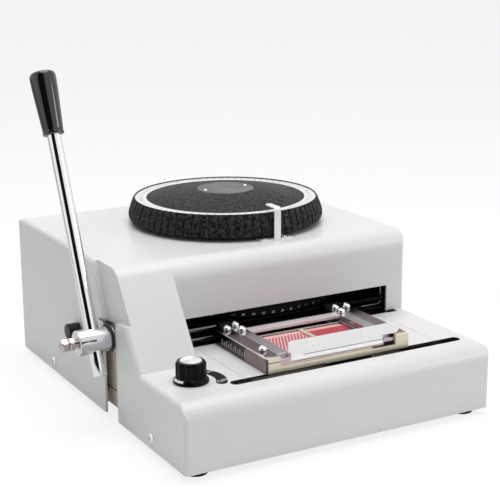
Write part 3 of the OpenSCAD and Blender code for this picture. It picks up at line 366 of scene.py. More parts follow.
# ---- Spindle and type wheels ----
# Two black steel discs turn on the spindle, one over and one under the card.
# Each holds 72 blackened pieces of type in slots round its edge, bright at their ends.
dark_steel = worn_and_sheen_finish("dark_steel", (0.006, 0.006, 0.0065), (0.012, 0.012, 0.013), (0.06, 0.06, 0.06),
                         (0.45, 0.6), grain=900.0, depth=0.00004, specular=0.2)
type_steel = worn_and_sheen_finish("type_steel", (0.62, 0.62, 0.63), (0.8, 0.8, 0.81), (0.95, 0.95, 0.95), (0.2, 0.32),
                         metal=1.0, grain=700.0)
ground_steel = worn_and_sheen_finish("ground_steel", (0.36, 0.36, 0.37), (0.46, 0.46, 0.47), (0.7, 0.7, 0.7), (0.25, 0.36),
                           metal=1.0, grain=500.0, stretch=(1, 8, 8))
dress(dark_steel, "upper_type_wheel", "lower_type_wheel", "upper_type_pins", "lower_type_pins")
dress(ground_steel, "spindle")

# Bright ends of the type, flush with the upper disc's rim at its lower edge: blocks with an eight-sided outline,
# carried outwards through three radii, the last a little narrower
CHARACTERS, TYPE_R, TYPE_HALF, TYPE_Z = 72, 110.0, 1.9, (69.4, 71.4)
TYPE_X, TYPE_Y = box_mm("upper_type_wheel")[:, :2].mean(axis=0)
outline_t = np.array([-1.0, 1, 1.25, 1.25, 1, -1, -1.25, -1.25]) * TYPE_HALF / 1.25
outline_z = TYPE_Z[0] + (TYPE_Z[1] - TYPE_Z[0]) * np.array([0, 0, 0.3, 0.7, 1, 1, 0.7, 0.3])
turns = 2 * np.pi * (np.arange(CHARACTERS) / CHARACTERS - 0.25)[:, None, None]
reach, narrow = np.array([(TYPE_R - 3, 1.0), (TYPE_R - 0.2, 1.0), (TYPE_R + 0.1, 0.88)]).T[:, :, None]
ends = np.stack(np.broadcast_arrays(TYPE_X + reach * np.cos(turns) - narrow * outline_t * np.sin(turns),
                                    TYPE_Y + reach * np.sin(turns) + narrow * outline_t * np.cos(turns),
                                    outline_z), -1)
type_ends = closed_skins("type_ends", mm(ends), type_steel)
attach(type_ends, "wheel")


# ---- Arms, cam and shaft ----
# The lever's shaft turns a cam between the tails of two cast arms, which swing
# on pins like a pair of pliers and squeeze the type from above and below.
dress(cast_grey, "upper_arm", "lower_arm")
dress(ground_steel, "arm_pins", "lever_shaft", "spreader_cam")


# ---- Feed under the deck ----
# A rack on the carriage's front plate turns a pinion, whose shaft winds the
# spring in the drum on the bottom plate.
dress(ground_steel, "feed_rack", "feed_pinion")
dress(dark_steel, "spring_drum")


# ---- Guide rods and the sheet behind them ----
# Two oiled steel rods between black steel posts carry the carriage, in front of
# a black steel sheet with a window for the card tray. Right of x 100 mm the rods
# are painted near black as painted shade, and a bright wire along the window's
# edge is a painted highlight.
RODS_IN_SHADE = ((100, 130, 50), (300, 140, 80))
oiled_steel = worn_and_sheen_finish("oiled_steel", (0.13, 0.13, 0.135), (0.2, 0.2, 0.205), (0.4, 0.4, 0.4), (0.1, 0.16),
                          metal=1.0, grain=700.0, depth=0.00001,
                          pattern=tinted((0.004, 0.004, 0.004), RODS_IN_SHADE))
dress(oiled_steel, "guide_rods")
dress(dark_steel, "mouth_frame", "rod_posts", "slider_blocks")

# A painted highlight: a bright wire down the window's right side, round its lower corner and along its sill,
# standing for the light on the window's edge
WINDOW_X, SILL_Z, WINDOW_R, SHEET_Y, HIGHLIGHT_R = 279.4, 62.5, 4.0, 140.4, 0.45
bend = np.linspace(0, np.pi / 2, 9)
highlight_path = np.concatenate([[(WINDOW_X, SHEET_Y, 81.5), (WINDOW_X, SHEET_Y, 74)],
                            np.stack([WINDOW_X - WINDOW_R + WINDOW_R * np.cos(bend), np.full(9, SHEET_Y),
                                      SILL_Z + WINDOW_R - WINDOW_R * np.sin(bend)], 1),
                            [(268, SHEET_Y, SILL_Z), (258, SHEET_Y, SILL_Z)]])


def wire(path, radius, sides, aside):
    """Rings of a round wire, each a circle about the path in the plane across its direction: the circle's first
    axis is square to that direction and to aside, a direction that the path never takes."""
    way = np.gradient(path, axis=0)
    way /= np.linalg.norm(way, axis=1)[:, None]
    u = np.cross(way, aside)
    u /= np.linalg.norm(u, axis=1)[:, None]
    v = np.cross(way, u)
    a = (2 * np.pi * np.arange(sides) / sides)[None, :, None]
    return mm(path[:, None] + radius * (np.cos(a) * u[:, None] + np.sin(a) * v[:, None]))


window_highlight_white = worn_and_sheen_finish("window_highlight_white", (0.85, 0.85, 0.85), (0.95, 0.95, 0.95), (1, 1, 1), (0.2, 0.3),
                          metal=0.1, grain=700.0)
window_highlight = closed_skins("window_edge_highlight", [wire(highlight_path, HIGHLIGHT_R, 8, (0.013, 1, 0.02))], window_highlight_white)
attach(window_highlight, "root")


# ---- Carriage ----
# Two ground steel bars, gone brownish in their plating, with satin arms inside
# them, a pale cross bar, a zinc plated front plate and domed chromed screws.
bright_chrome = worn_and_sheen_finish("bright_chrome", (0.80, 0.80, 0.81), (0.88, 0.88, 0.88), (0.97, 0.97, 0.97),
                            (0.05, 0.09), metal=1.0, grain=700.0, depth=0.000004, radius=0.0004)
satin_chrome = worn_and_sheen_finish("satin_chrome", (0.46, 0.47, 0.48), (0.58, 0.58, 0.59), (0.95, 0.95, 0.95), (0.2, 0.3),
                           metal=1.0, grain=420.0, depth=0.00004, radius=0.0005)
BAR_X, BAR_Y, BAR_Z, BAR_CUT = ((92.6, 105.6), (222.1, 235.1)), (36.0, 129.5), (57.3, 71.0), 0.7
# Painted light on the bars: a painted highlight along the left bar's outer top edge, painted shade down the rear
# of its outer side, and painted shade along both bars' inner top edges, by the arms.
BAR_EDGE_HIGHLIGHT = ((92, 36, 70.1), (93.3, 130, 71.1))
BAR_SIDE_IN_SHADE = ((92, 71.5, 57), (92.65, 130, 70.1))
BAR_INNER_EDGE_SHADE = ((104.9, 36, 70.5), (106, 130, 71.1)), ((222, 36, 70.5), (222.8, 130, 71.1))
# The bars' near white edge colour is a painted highlight along their edges.
brown_chrome = worn_and_sheen_finish("brown_chrome", (0.17, 0.125, 0.12), (0.30, 0.225, 0.22), (0.95, 0.92, 0.9),
                           (0.14, 0.24), metal=1.0, grain=260.0, depth=0.000015, stretch=(6, 0.4, 6),
                           radius=0.0006,
                           pattern=tinted((0.98, 0.95, 0.93), BAR_EDGE_HIGHLIGHT,
                                          under=tinted((0.03, 0.028, 0.028), BAR_SIDE_IN_SHADE, *BAR_INNER_EDGE_SHADE)))
SLOT_END_IN_SHADE = ((199, 35, 57), (222, 42, 62.95)), ((211, 35, 57), (222, 42, 65.2))
mauve_chrome = worn_and_sheen_finish("mauve_chrome", (0.46, 0.36, 0.38), (0.60, 0.50, 0.51), (0.9, 0.85, 0.85), (0.16, 0.28),
                           metal=1.0, grain=260.0, depth=0.000015, stretch=(0.4, 6, 6), radius=0.0005,
                           pattern=tinted((0.012, 0.01, 0.01), *SLOT_END_IN_SHADE))
# Painted shade: the front plate is near black below the deck, where it stands in the groove's shade. It is also
# near black down its left end, with a dark line across that end.
PLATE_FOOT_SHADE, PLATE_LEFT_END = ((90, 30, 30), (240, 36.2, 57.0)), ((92, 30, 57), (93.9, 36.2, 70.1))
PLATE_SCRATCH = ((92, 30, 66.2), (106, 34.2, 66.9))
straw_zinc = worn_and_sheen_finish("straw_zinc", (0.80, 0.75, 0.54), (0.86, 0.80, 0.64), (0.92, 0.88, 0.76), (0.25, 0.4),
                         metal=0.5, grain=1100.0, drift=30.0,
                         pattern=tinted((0.01, 0.008, 0.006), PLATE_FOOT_SHADE, PLATE_LEFT_END, PLATE_SCRATCH))


def cut_bar(x, y, z, cut):
    """Rings along y of a bar whose edges are cut at 45 degrees: eight points round, and its ends stepped in."""
    place, inset, slant = np.array([(y[0], cut, 0.6 * cut), (y[0] + cut, 0, cut), (y[1] - cut, 0, cut),
                                    (y[1], cut, 0.6 * cut)]).T[:, :, None]
    a, b, c, d = x[0] + inset, x[1] - inset, z[0] + inset, z[1] - inset
    round_x = np.hstack([a + slant, b - slant, b, b, b - slant, a + slant, a, a])
    round_z = np.hstack([c, c, c + slant, d - slant, d, d, d - slant, c + slant])
    return mm(np.stack([round_x, place + 0 * round_x, round_z], -1))


for side, x in zip(("left", "right"), BAR_X):
    bar = closed_skins(side + "_bar_ground", [cut_bar(x, BAR_Y, BAR_Z, BAR_CUT)], brown_chrome)
    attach(bar, "carriage")
    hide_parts(side + "_bar")

# Graduations on the left bar: every second one is longer
printed_white = worn_and_sheen_finish("printed_white", (0.8, 0.8, 0.8), (0.86, 0.86, 0.86), (0.7, 0.7, 0.7), (0.4, 0.5),
                            grain=1500.0)
LINE_Y, LINE_HALF, LINE_FOOT, LINE_LENGTHS = np.arange(72.0, 113.0, 4.0), 0.32, 60.3, (6, 4)
LINE_X = (BAR_X[0][0] - 0.06, BAR_X[0][0] + 0.3)
marks = [cut_bar(LINE_X, (y - LINE_HALF, y + LINE_HALF), (LINE_FOOT, LINE_FOOT + LINE_LENGTHS[k % 2]), 0.04)
         for k, y in enumerate(LINE_Y)]
bar_marks = closed_skins("bar_marks", marks, printed_white)
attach(bar_marks, "carriage")

# Domed screw heads with a round socket, on the bars and the arms
SCREWS = [(100.7, 118.3), (100.3, 54.5), (112.1, 124.5), (111.2, 110.2), (216.9, 123.6), (215.8, 111.6),
          (228.5, 122.6)]
head = [(0.2, 1.5), (1.7, 1.5), (1.7, 3.2), (1.95, 3.65), (2.6, 3.6), (3.3, 3.1), (3.75, 2.3), (3.98, 1.3),
        (4.0, 0.3), (3.85, 0.02), (0.2, 0.02)]
heads = closed_skins("carriage_screw_heads", [turned(head, (x, y, BAR_Z[1]), columns=36) for x, y in SCREWS],
                     bright_chrome)
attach(heads, "carriage")
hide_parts("carriage_screws")
dress(satin_chrome, "left_arm", "right_arm")
pale_satin = worn_and_sheen_finish("pale_satin", (0.80, 0.74, 0.73), (0.88, 0.84, 0.83), (0.97, 0.97, 0.97), (0.25, 0.35),
                         metal=0.4, grain=420.0, depth=0.00002)
dress(pale_satin, "cross_bar")
dress(straw_zinc, "front_plate")
dress(mauve_chrome, "front_bar")


# ---- Card tray and card ----
# A plated steel tray slides between the arms. It has a white enamelled tab to
# push, a rail and a strip that hold the card, and a plain red plastic card.
# Painted light on the tray: painted shade in the tab's crease, and a painted highlight along the tray's lip.
TAB_CREASE_SHADE, TRAY_LIP_HIGHLIGHT = ((130, 36, 67.5), (215, 38, 68.0)), ((117, 36, 64.3), (211, 37.05, 67.5))
white_enamel = worn_and_sheen_finish("white_enamel", (0.95, 0.95, 0.955), (0.98, 0.975, 0.975), (1, 1, 1), (0.22, 0.32),
                           metal=0.6, coat=0.2, radius=0.0003, pattern=tinted((0.1, 0.1, 0.1), TAB_CREASE_SHADE))
tray_chrome = worn_and_sheen_finish("tray_chrome", (0.46, 0.36, 0.38), (0.60, 0.50, 0.51), (0.9, 0.85, 0.85), (0.16, 0.28),
                          metal=0.85, grain=260.0, depth=0.000015, stretch=(0.4, 6, 6), radius=0.0003,
                          pattern=tinted((1.0, 1.0, 1.0), TRAY_LIP_HIGHLIGHT))
card_low, card_high = (np.array(c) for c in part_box("card"))
DOT_PERIODS, DOT_PALE = (0.0032, 0.0064), (0.92, 0.8, 0.8, 1)
BAND_EDGE, BAND_PALE = (card_high[1] - 0.0060, card_high[1] - 0.0055), (0.88, 0.55, 0.53, 1)


def dotted_red(tree, ground):
    """Pale dots over the card's left half, where the product of a sine of x and one of y is large, and a pale
    band along its rear edge."""
    spot = wired(tree, "ShaderNodeTexCoord")
    split = wired(tree, "ShaderNodeSeparateXYZ", (0, spot.outputs["Object"]))
    waves = [reckon(tree, "SINE", reckon(tree, "MULTIPLY", split.outputs[axis], 2 * math.pi / period))
             for axis, period in enumerate(DOT_PERIODS)]
    dot = carried(tree, reckon(tree, "MULTIPLY", *waves), (0.05, 0.35), (0.0, 0.9))
    left = reckon(tree, "LESS_THAN", split.outputs[0], (card_low[0] + card_high[0]) / 2)
    dotted = blend(tree, reckon(tree, "MULTIPLY", dot, left), ground, DOT_PALE)
    return blend(tree, carried(tree, split.outputs[1], BAND_EDGE, (0.0, 0.8)), dotted, BAND_PALE)


card_print = worn_and_sheen_finish("card_print", (0.42, 0.035, 0.06), (0.52, 0.07, 0.095), (0.8, 0.6, 0.6), (0.3, 0.4),
                         coat=0.08, specular=0.2, pattern=dotted_red)
# The rail's near white edge colour is a painted highlight along its edges.
rail_brown = worn_and_sheen_finish("rail_brown", (0.10, 0.075, 0.055), (0.30, 0.24, 0.18), (1.0, 0.96, 0.86), (0.12, 0.2),
                         metal=1.0, grain=420.0, depth=0.00002, radius=0.0008)
dress(tray_chrome, "card_tray")
dress(white_enamel, "tab_plate")
dress(rail_brown, "card_rail")
dress(straw_zinc, "card_clip")
dress(card_print, "card")


# ---- Casing and deck plate ----
# Folded and welded 2 mm steel sheet with rounded edges, powder coated pale grey.
# The deck plate is a separate sheet, let into the deck behind the groove.
# Painted shade: the casing is painted near black inside the deck's groove and on its inner faces, under the deck,
# behind the front and by the mouth's right end, where they lie in deep shade.
GROOVE_SHADE = (57.3, 26.3, 53.5), (289.6, 36.8, 56.75)
INSIDES_SHADE = ((6.9, 16, 1), (298.05, 356, 55.05)), ((6.9, 133.05, 50), (298.05, 356, 117)), \
    ((6.9, 150, 110), (298.05, 356, 132.4)), ((279.1, 126, 50), (289.8, 137, 57.05))
powder_coat = worn_and_sheen_finish("powder_coat", (0.76, 0.76, 0.765), (0.80, 0.80, 0.80), (0.85, 0.85, 0.85), (0.34, 0.42),
                          grain=900.0, depth=0.00002, radius=0.0008, edge_strength=0.5, coat=0.12,
                          pattern=tinted((0.004, 0.004, 0.004), GROOVE_SHADE, *INSIDES_SHADE))
dress(powder_coat, "casing", "deck_plate")
dress(bright_chrome, "casing_screws")

# Side stop: a black rubber buffer on the casing's left side, with a paler end face
stop_low, stop_high = box_mm("side_stop")
STOP_SPOT = (stop_low[0], (stop_low[1] + stop_high[1]) / 2, (stop_low[2] + stop_high[2]) / 2)
STOP_END = ((-13, 200, 50), (stop_low[0] + 0.3, 230, 70))
stop_rubber = worn_and_sheen_finish("stop_rubber", (0.01, 0.01, 0.01), (0.018, 0.018, 0.018), (0.05, 0.05, 0.05),
                          (0.5, 0.65), grain=700.0, depth=0.00006, specular=0.25,
                          pattern=tinted((0.07, 0.07, 0.075), STOP_END))
stop = [(0.3, 0.05), (5.8, 0.05), (6.5, 0.25), (6.95, 0.9), (7, 2), (7, 11.6), (6.7, 11.95), (3, 11.98), (3, 15.9),
        (0.3, 15.95)]
stop_piece = closed_skins("side_stop_moulded", [turned(stop, STOP_SPOT, (1, 0, 0))], stop_rubber)
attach(stop_piece, "root")
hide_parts("side_stop")


# ---- Knob ----
# Moulded black knob with ten flutes over a skirt that has a white mark on its slope,
# a spun metal cap, and a black label with white words beside it.
KNOB_SPOT, KNOB_FOOT = (31.75, 52.0), 57.3
FLUTES, FLUTE_R, FLUTE_OUT, FLUTE_FOOT, BODY_R = 10, 4.0, 15.7, 4.4, 12.7


def fluted(a, r, h):
    """Radius over the angle: the smaller of r and the near side of the round cutter at each flute. The cutter's
    centre is FLUTE_OUT from the axis, so that side is FLUTE_OUT cos d - sqrt(FLUTE_R^2 - FLUTE_OUT^2 sin^2 d)."""
    step = 2 * np.pi / FLUTES
    d = (a + step / 2) % step - step / 2
    room = FLUTE_R**2 - (FLUTE_OUT * np.sin(d))**2
    near = np.where(room > 0, FLUTE_OUT * np.cos(d) - np.sqrt(np.maximum(room, 0)), BODY_R)
    return np.where(h > FLUTE_FOOT, np.minimum(r, near - (BODY_R - np.minimum(r, BODY_R)) * 0.6), r)


moulded_black = worn_and_sheen_finish("moulded_black", (0.0015, 0.0015, 0.0015), (0.003, 0.003, 0.003), (0.02, 0.02, 0.02),
                            (0.12, 0.2), grain=900.0, depth=0.00001, specular=0.1)
knob = [(3.0, 10.5), (3.0, 0), (14.5, 0), (14.9, 0.4), (14.9, 1.7), (14.6, 2.3), (13.2, 3.6), (12.8, 4.1),
        (BODY_R, 4.5), (BODY_R, 6), (BODY_R, 9), (BODY_R, 12), (BODY_R, 15.6), (BODY_R - 0.05, 16.0),
        (BODY_R - 1.0, 17.5), (BODY_R - 1.25, 17.65), (10.9, 17.7), (9.35, 17.7), (9.2, 17.4), (0.5, 17.4)]
knob_rings = turned(knob, (*KNOB_SPOT, KNOB_FOOT), columns=320, shape=fluted)
knob_piece = closed_skins("knob", [knob_rings], moulded_black)
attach(knob_piece, "knob")
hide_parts("knob_body")


def painted_spun_reflection(tree, ground):
    """Two opposite darker wedges about the knob's axis, a painted reflection of the kind a spun metal face
    shows in the light: the colour follows sin (2a + 0.9)."""
    spot = wired(tree, "ShaderNodeTexCoord")
    split = wired(tree, "ShaderNodeSeparateXYZ", (0, spot.outputs["Object"]))
    dx, dy = (reckon(tree, "SUBTRACT", split.outputs[axis], mm((*KNOB_SPOT, 0))[axis]) for axis in range(2))
    double = reckon(tree, "MULTIPLY_ADD", reckon(tree, "ARCTAN2", dy, dx), 2.0, 0.9)
    share = carried(tree, reckon(tree, "SINE", double), (0.2, 1.0), (0.0, 0.5))
    return blend(tree, share, ground, (0.45, 0.45, 0.45, 1))


spun_metal = worn_and_sheen_finish("spun_metal", (0.90, 0.90, 0.90), (0.97, 0.97, 0.97), (1, 1, 1), (0.3, 0.4), metal=0.3,
                         grain=500.0, depth=0.00001, pattern=painted_spun_reflection)
cap = [(0.5, 17.0), (9.0, 17.0), (9.0, 18.1), (8.75, 18.45), (8.4, 18.6), (8.1, 18.45), (0.5, 18.4)]
cap_piece = closed_skins("knob_cap_plate", [turned(cap, (*KNOB_SPOT, KNOB_FOOT))], spun_metal)
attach(cap_piece, "knob")
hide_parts("knob_cap")

# The white mark lies on the skirt's slope, which falls by 1.3 mm from the radius 13.2 to the radius 14.6
MARK_TURN, MARK_HALF, MARK_R = math.radians(190.0), math.radians(26.0), (12.9, 14.6)
SLOPE_R, SLOPE_Z, SLOPE = 14.6, 2.3, 1.3 / 1.4


def skirt_patch(lift):
    """The mark's outline, lift over the slope: a grid of angle by radius, whose height follows the radius."""
    a, t = np.meshgrid(np.linspace(MARK_TURN - MARK_HALF, MARK_TURN + MARK_HALF, 9), np.linspace(0, 1, 3),
                       indexing="ij")
    r = MARK_R[0] + (MARK_R[1] - MARK_R[0]) * t
    z = KNOB_FOOT + SLOPE_Z + (SLOPE_R - r) * SLOPE + lift
    return mm(np.stack([KNOB_SPOT[0] + r * np.cos(a), KNOB_SPOT[1] + r * np.sin(a), z], -1))


def shell(name, top, bottom, finish):
    """A closed skin between two equal grids of points: each grid is a cover, and walls join their rims."""
    m, n = top.shape[:2]
    cell = (np.arange(m - 1)[:, None] * n + np.arange(n - 1)[None, :]).ravel()
    lid = np.stack([cell, cell + 1, cell + n + 1, cell + n], 1)
    index = np.arange(m * n).reshape(m, n)
    rim = np.concatenate([index[:, 0], index[-1, 1:], index[-2::-1, -1], index[0, -2:0:-1]])
    after = np.roll(rim, -1)
    walls = np.stack([rim, after, after + m * n, rim + m * n], 1)
    return mesh_piece(name, np.concatenate([top.reshape(-1, 3), bottom.reshape(-1, 3)]),
                      lid.tolist() + (lid[:, ::-1] + m * n).tolist() + walls.tolist(), finish)


mark = shell("knob_mark", skirt_patch(0.12), skirt_patch(-0.2), printed_white)
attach(mark, "knob")
dress(ground_steel, "knob_shaft")
label_black = worn_and_sheen_finish("label_black", (0.003, 0.003, 0.003), (0.006, 0.006, 0.006), (0.03, 0.03, 0.03),
                          (0.35, 0.45), specular=0.15)
dress(label_black, "knob_label")


def flat_words(items, height):
    """Flat letters as points and faces. Each item is the letters, their size, the place of their middle in
    millimetres, and the direction in which they are read, as an angle about the vertical."""
    points, faces, base = [], [], 0
    for letters, size, place, turn in items:
        words = bpy.data.curves.new("letters", "FONT")
        words.body, words.size, words.resolution_u = letters, size, 2
        words.align_x, words.align_y = "CENTER", "CENTER"
        drawn = bpy.data.objects.new("letters", words)
        flat = bpy.data.meshes.new_from_object(drawn)
        spots = np.empty(3 * len(flat.vertices))
        flat.vertices.foreach_get("co", spots)
        x, y = spots.reshape(-1, 3)[:, :2].T
        c, s = math.cos(turn), math.sin(turn)
        points.append(np.column_stack([place[0] + c * x - s * y, place[1] + s * x + c * y,
                                       np.full(len(x), height)]))
        faces += [[base + v for v in face.vertices] for face in flat.polygons]
        base += len(x)
        bpy.data.objects.remove(drawn)
        bpy.data.meshes.remove(flat)
    return mm(np.concatenate(points)), faces


LABEL_Z, LABEL_TURN = 57.32, math.radians(10.0)
LABEL_WORDS = [("OFF", 6.4, (KNOB_SPOT[0] + 23.4, KNOB_SPOT[1] - 11.6), LABEL_TURN),
               ("ON", 5.0, (KNOB_SPOT[0] + 22.6, KNOB_SPOT[1] + 12.4), LABEL_TURN)]
words = mesh_piece("label_words", *flat_words(LABEL_WORDS, LABEL_Z), printed_white)
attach(words, "root")


# ---- Lever ----
# A chromed rod through a satin chromed hub, held by a long bolt with a lock nut
# on its end, with a moulded black grip pushed on the top and a return spring.
HUB_SPOT = (-15.0, 143.5, 73.2)
LEAN, GRIP_FOOT = math.radians(24.0), 183.0
lever_axis = (0.0, math.sin(LEAN), math.cos(LEAN))
rod = [(0.5, -31), (5.2, -31), (5.7, -30.8), (6, -30.3), (6, -12), (6, 60), (6, 130), (6, 190), (6, 226),
       (0.5, 227)]
rod_piece = closed_skins("lever_rod_turned", [turned(rod, HUB_SPOT, lever_axis, columns=128)], bright_chrome)
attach(rod_piece, "lever")
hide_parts("lever_rod")

grip_black = worn_and_sheen_finish("grip_black", (0.004, 0.003, 0.003), (0.008, 0.006, 0.006), (0.04, 0.035, 0.035),
                         (0.10, 0.16), grain=900.0, depth=0.00001, specular=0.75)
grip = [(6.02, 12), (6.02, 0.6), (6.6, 0), (8.6, 0), (9.15, 0.3), (9.35, 1.0), (9.35, 1.8), (9.15, 2.4),
        (9.05, 3.0), (9.15, 4.6), (9.5, 10), (10.1, 20), (10.8, 31), (11.4, 42), (11.65, 50), (11.6, 52.6),
        (11.35, 54.0), (10.85, 55.0), (10.15, 55.7), (9.2, 56.1), (8, 56.4), (6, 56.6), (0.5, 56.6)]
grip_spot = np.array(HUB_SPOT) + GRIP_FOOT * np.array(lever_axis)
grip_piece = closed_skins("lever_grip_moulded", [turned(grip, grip_spot, lever_axis)], grip_black)
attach(grip_piece, "lever")
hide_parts("lever_grip")

# The hub is sawn in front: the cut's walls are a sudden step in its radius, and its floor is painted black as
# painted shade in the narrow cut
HUB_LEFT, HUB_R = -31.0, 11.0
CUT_H, CUT_HALF, CUT_TURN, CUT_DEPTH = (1.6, 14.6), 0.075, math.radians(162.0), 1.6
hub_h = np.array([0, 0.05, 0.5, CUT_H[0], CUT_H[0] + 0.02, 5, 9, CUT_H[1], CUT_H[1] + 0.02, 20, 26, 32.4, 33])
hub_r = HUB_R - np.array([7.5, 0.6, 0, 0, 0, 0, 0, 0, 0, 0, 0, 0, 0.6])
hub_columns = np.sort(np.concatenate([2 * np.pi * np.arange(120) / 120,
                                      CUT_TURN + CUT_HALF * np.array([-1, -0.97, 0.97, 1])]))


def sawn(a, r, h):
    """Radius over the angle: r, less CUT_DEPTH where both the angle and the height lie in the saw cut."""
    inside = (np.abs(a - CUT_TURN) < CUT_HALF * 0.98) & (h > CUT_H[0] + 0.01) & (h < CUT_H[1] + 0.01)
    return r - CUT_DEPTH * inside


SAW_CUT_SHADE = ((-30, 131, 75.3), (-23.6, 136, 77.3)), ((-22.6, 131, 75.3), (-16.2, 136, 77.5))
hub_chrome = worn_and_sheen_finish("hub_chrome", (0.50, 0.50, 0.51), (0.74, 0.74, 0.75), (0.97, 0.97, 0.97), (0.14, 0.24),
                         metal=0.9, grain=300.0, depth=0.0002, stretch=(0.5, 2, 2), radius=0.0008,
                         pattern=tinted((0.002, 0.002, 0.002), *SAW_CUT_SHADE))
hub_rings = turned(np.column_stack([hub_r, hub_h]), (HUB_LEFT, *HUB_SPOT[1:]), (1, 0, 0), columns=hub_columns,
                   shape=sawn)
hub_piece = closed_skins("lever_hub_turned", [hub_rings], hub_chrome)
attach(hub_piece, "lever")
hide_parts("lever_hub")

# Clamp bolt and lock nut: the nut's corners stand a little turned from the bolt's
warm_chrome = worn_and_sheen_finish("warm_chrome", (0.40, 0.34, 0.32), (0.60, 0.53, 0.50), (0.95, 0.9, 0.88), (0.12, 0.2),
                          metal=1.0, grain=600.0, depth=0.00001)
ACROSS, BOLT_LEFT, NUT_TURN = 10.0, -45.0, 0.21


def six_sided(a, r, h):
    """Radius over the angle. Over the head, where r is more than 4, it is the smaller of r and of the hexagon's,
    half its width over the cosine of the angle from its side's middle. Over the shank it is r."""
    d = (a + np.pi / 6) % (np.pi / 3) - np.pi / 6
    return np.where(r > 4, np.minimum(ACROSS / 2 / np.cos(d), r), r)


bolt = [(0.4, 0.25), (3.2, 0.25), (3.6, 0), (4.85, 0), (5.35, 0.55), (5.8, 1.2), (5.8, 5), (5.3, 5.7), (4.9, 6),
        (3, 6), (3, 23.6), (0.4, 23.8)]
nut = [(3.05, 7.0), (4.7, 7.0), (5.3, 7.5), (5.8, 8.1), (5.8, 11), (5.3, 11.6), (4.8, 12), (3.05, 12)]
bolt_spot = (BOLT_LEFT, HUB_SPOT[1], HUB_SPOT[2])
bolt_piece = closed_skins("bolt_turned", [turned(bolt, bolt_spot, (1, 0, 0), columns=144, shape=six_sided)],
                          warm_chrome)
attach(bolt_piece, "lever")
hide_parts("clamp_bolt")
nut_rings = turned(nut, bolt_spot, (1, 0, 0), columns=144, phase=NUT_TURN, shape=six_sided)
nut_piece = closed_skins("nut_turned", [nut_rings], warm_chrome, looped=True)
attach(nut_piece, "lever")
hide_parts("lock_nut")

# Return spring: two coils round the hub's inner end, with a short straight end in front and a long one behind
SPRING_X, SPRING_R, WIRE_R, COILS = (-3.1, -0.5), 12.3, 0.6, 2
a = np.linspace(0, 2 * np.pi * COILS, 48 * COILS + 1)
coil = np.stack([SPRING_X[0] + WIRE_R + (SPRING_X[1] - SPRING_X[0] - 2 * WIRE_R) * a / a[-1],
                 HUB_SPOT[1] + SPRING_R * np.sin(a), HUB_SPOT[2] + SPRING_R * np.cos(a)], 1)
spring_path = np.concatenate([coil[0] + np.outer(np.linspace(9, 1, 5), (0, -1, 0)), coil,
                              coil[-1] + np.outer(np.linspace(1, 20, 6), (0, 1, 0))])
spring_steel = worn_and_sheen_finish("spring_steel", (0.006, 0.006, 0.006), (0.012, 0.012, 0.012), (0.04, 0.04, 0.04),
                           (0.3, 0.42), grain=900.0, specular=0.35)
spring = closed_skins("spring_coil", [wire(spring_path, WIRE_R, 12, (1, 0.02, 0.01))], spring_steel)
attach(spring, "root")
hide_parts("return_spring")


# ---- Hand wheel ----
# Moulded black wheel with a grained domed top and 72 segments round its rim,
# one for each character, a printed metal ring, and a bare badge held by rivets.
wheel_low, wheel_high = box_mm("dial_wheel")
WHEEL_SPOT = ((wheel_low[0] + wheel_high[0]) / 2, (wheel_low[1] + wheel_high[1]) / 2, 137.5)
RIM, DOME_EDGE, DOME_FOOT, DOME_H, BADGE_R = 95.0, 77.2, 20.7, 8.0, 27.4
# The dome is part of a ball, whose radius follows from its height and the radii of its edge and of the badge
DOME_BALL = (DOME_EDGE**2 - BADGE_R**2 + DOME_H**2) / (2 * DOME_H)
dome_r = np.linspace(DOME_EDGE - 0.02, BADGE_R, 22)
dome_h = DOME_FOOT + DOME_H + np.sqrt(DOME_BALL**2 - dome_r**2) - np.sqrt(DOME_BALL**2 - BADGE_R**2)
dome = np.stack([dome_r, dome_h], 1)
rim = [(RIM - 4, 0.5), (RIM - 2.4, 0.8), (RIM - 1.2, 1.7), (RIM - 0.5, 3.0), (RIM - 0.15, 4.4), (RIM, 5.8),
       (RIM - 0.2, 7.6), (RIM - 0.75, 10), (RIM - 1.5, 12.5), (RIM - 2.4, 15), (RIM - 3.3, 17.4),
       (RIM - 4.1, 19.4), (RIM - 4.9, 21.0), (RIM - 5.6, 21.9), (RIM - 6.1, 22.2), (RIM - 6.55, 22.1),
       (RIM - 6.6, 20.6), (RIM - 8, 20.5), (DOME_EDGE, 20.5)]
under = [(0.5, 13.5), (10.2, 13.5), (10.2, 0.2), (20, 0.0), (20, 14), (RIM - 12, 14), (RIM - 10, 0.3)]
wheel_profile = np.concatenate([under, rim, dome, [(BADGE_R, 27.95), (0.5, 27.95)]])
# The columns of points stand closer by the grooves
share = np.array([0, 0.03, 0.06, 0.10, 0.17, 0.3, 0.5, 0.7, 0.83, 0.90, 0.94, 0.97])
columns = 2 * np.pi * ((np.arange(CHARACTERS)[:, None] + share[None, :]).ravel() + 0.5) / CHARACTERS
GROOVE_DEPTH, GROOVE_WIDTH, CROWN = 1.7, 0.075, 1.6


def segmented(a, r, h):
    """Radius over the angle: r, less a narrow groove with the outline of a bell curve at each of the 72
    divisions, and with a slight crown between them. Both fade out towards the rim's lower and upper edges."""
    u = (a * CHARACTERS / (2 * np.pi) + 0.5) % 1
    near = np.minimum(u, 1 - u)
    fade = np.clip((r - RIM + 6.0) / 0.8, 0, 1) * np.clip((h - 0.6) / 1.6, 0, 1)
    return r - fade * (GROOVE_DEPTH * np.exp(-(near / GROOVE_WIDTH) ** 2) + CROWN * (0.5 - near) ** 2)


CRINKLE = 380.0


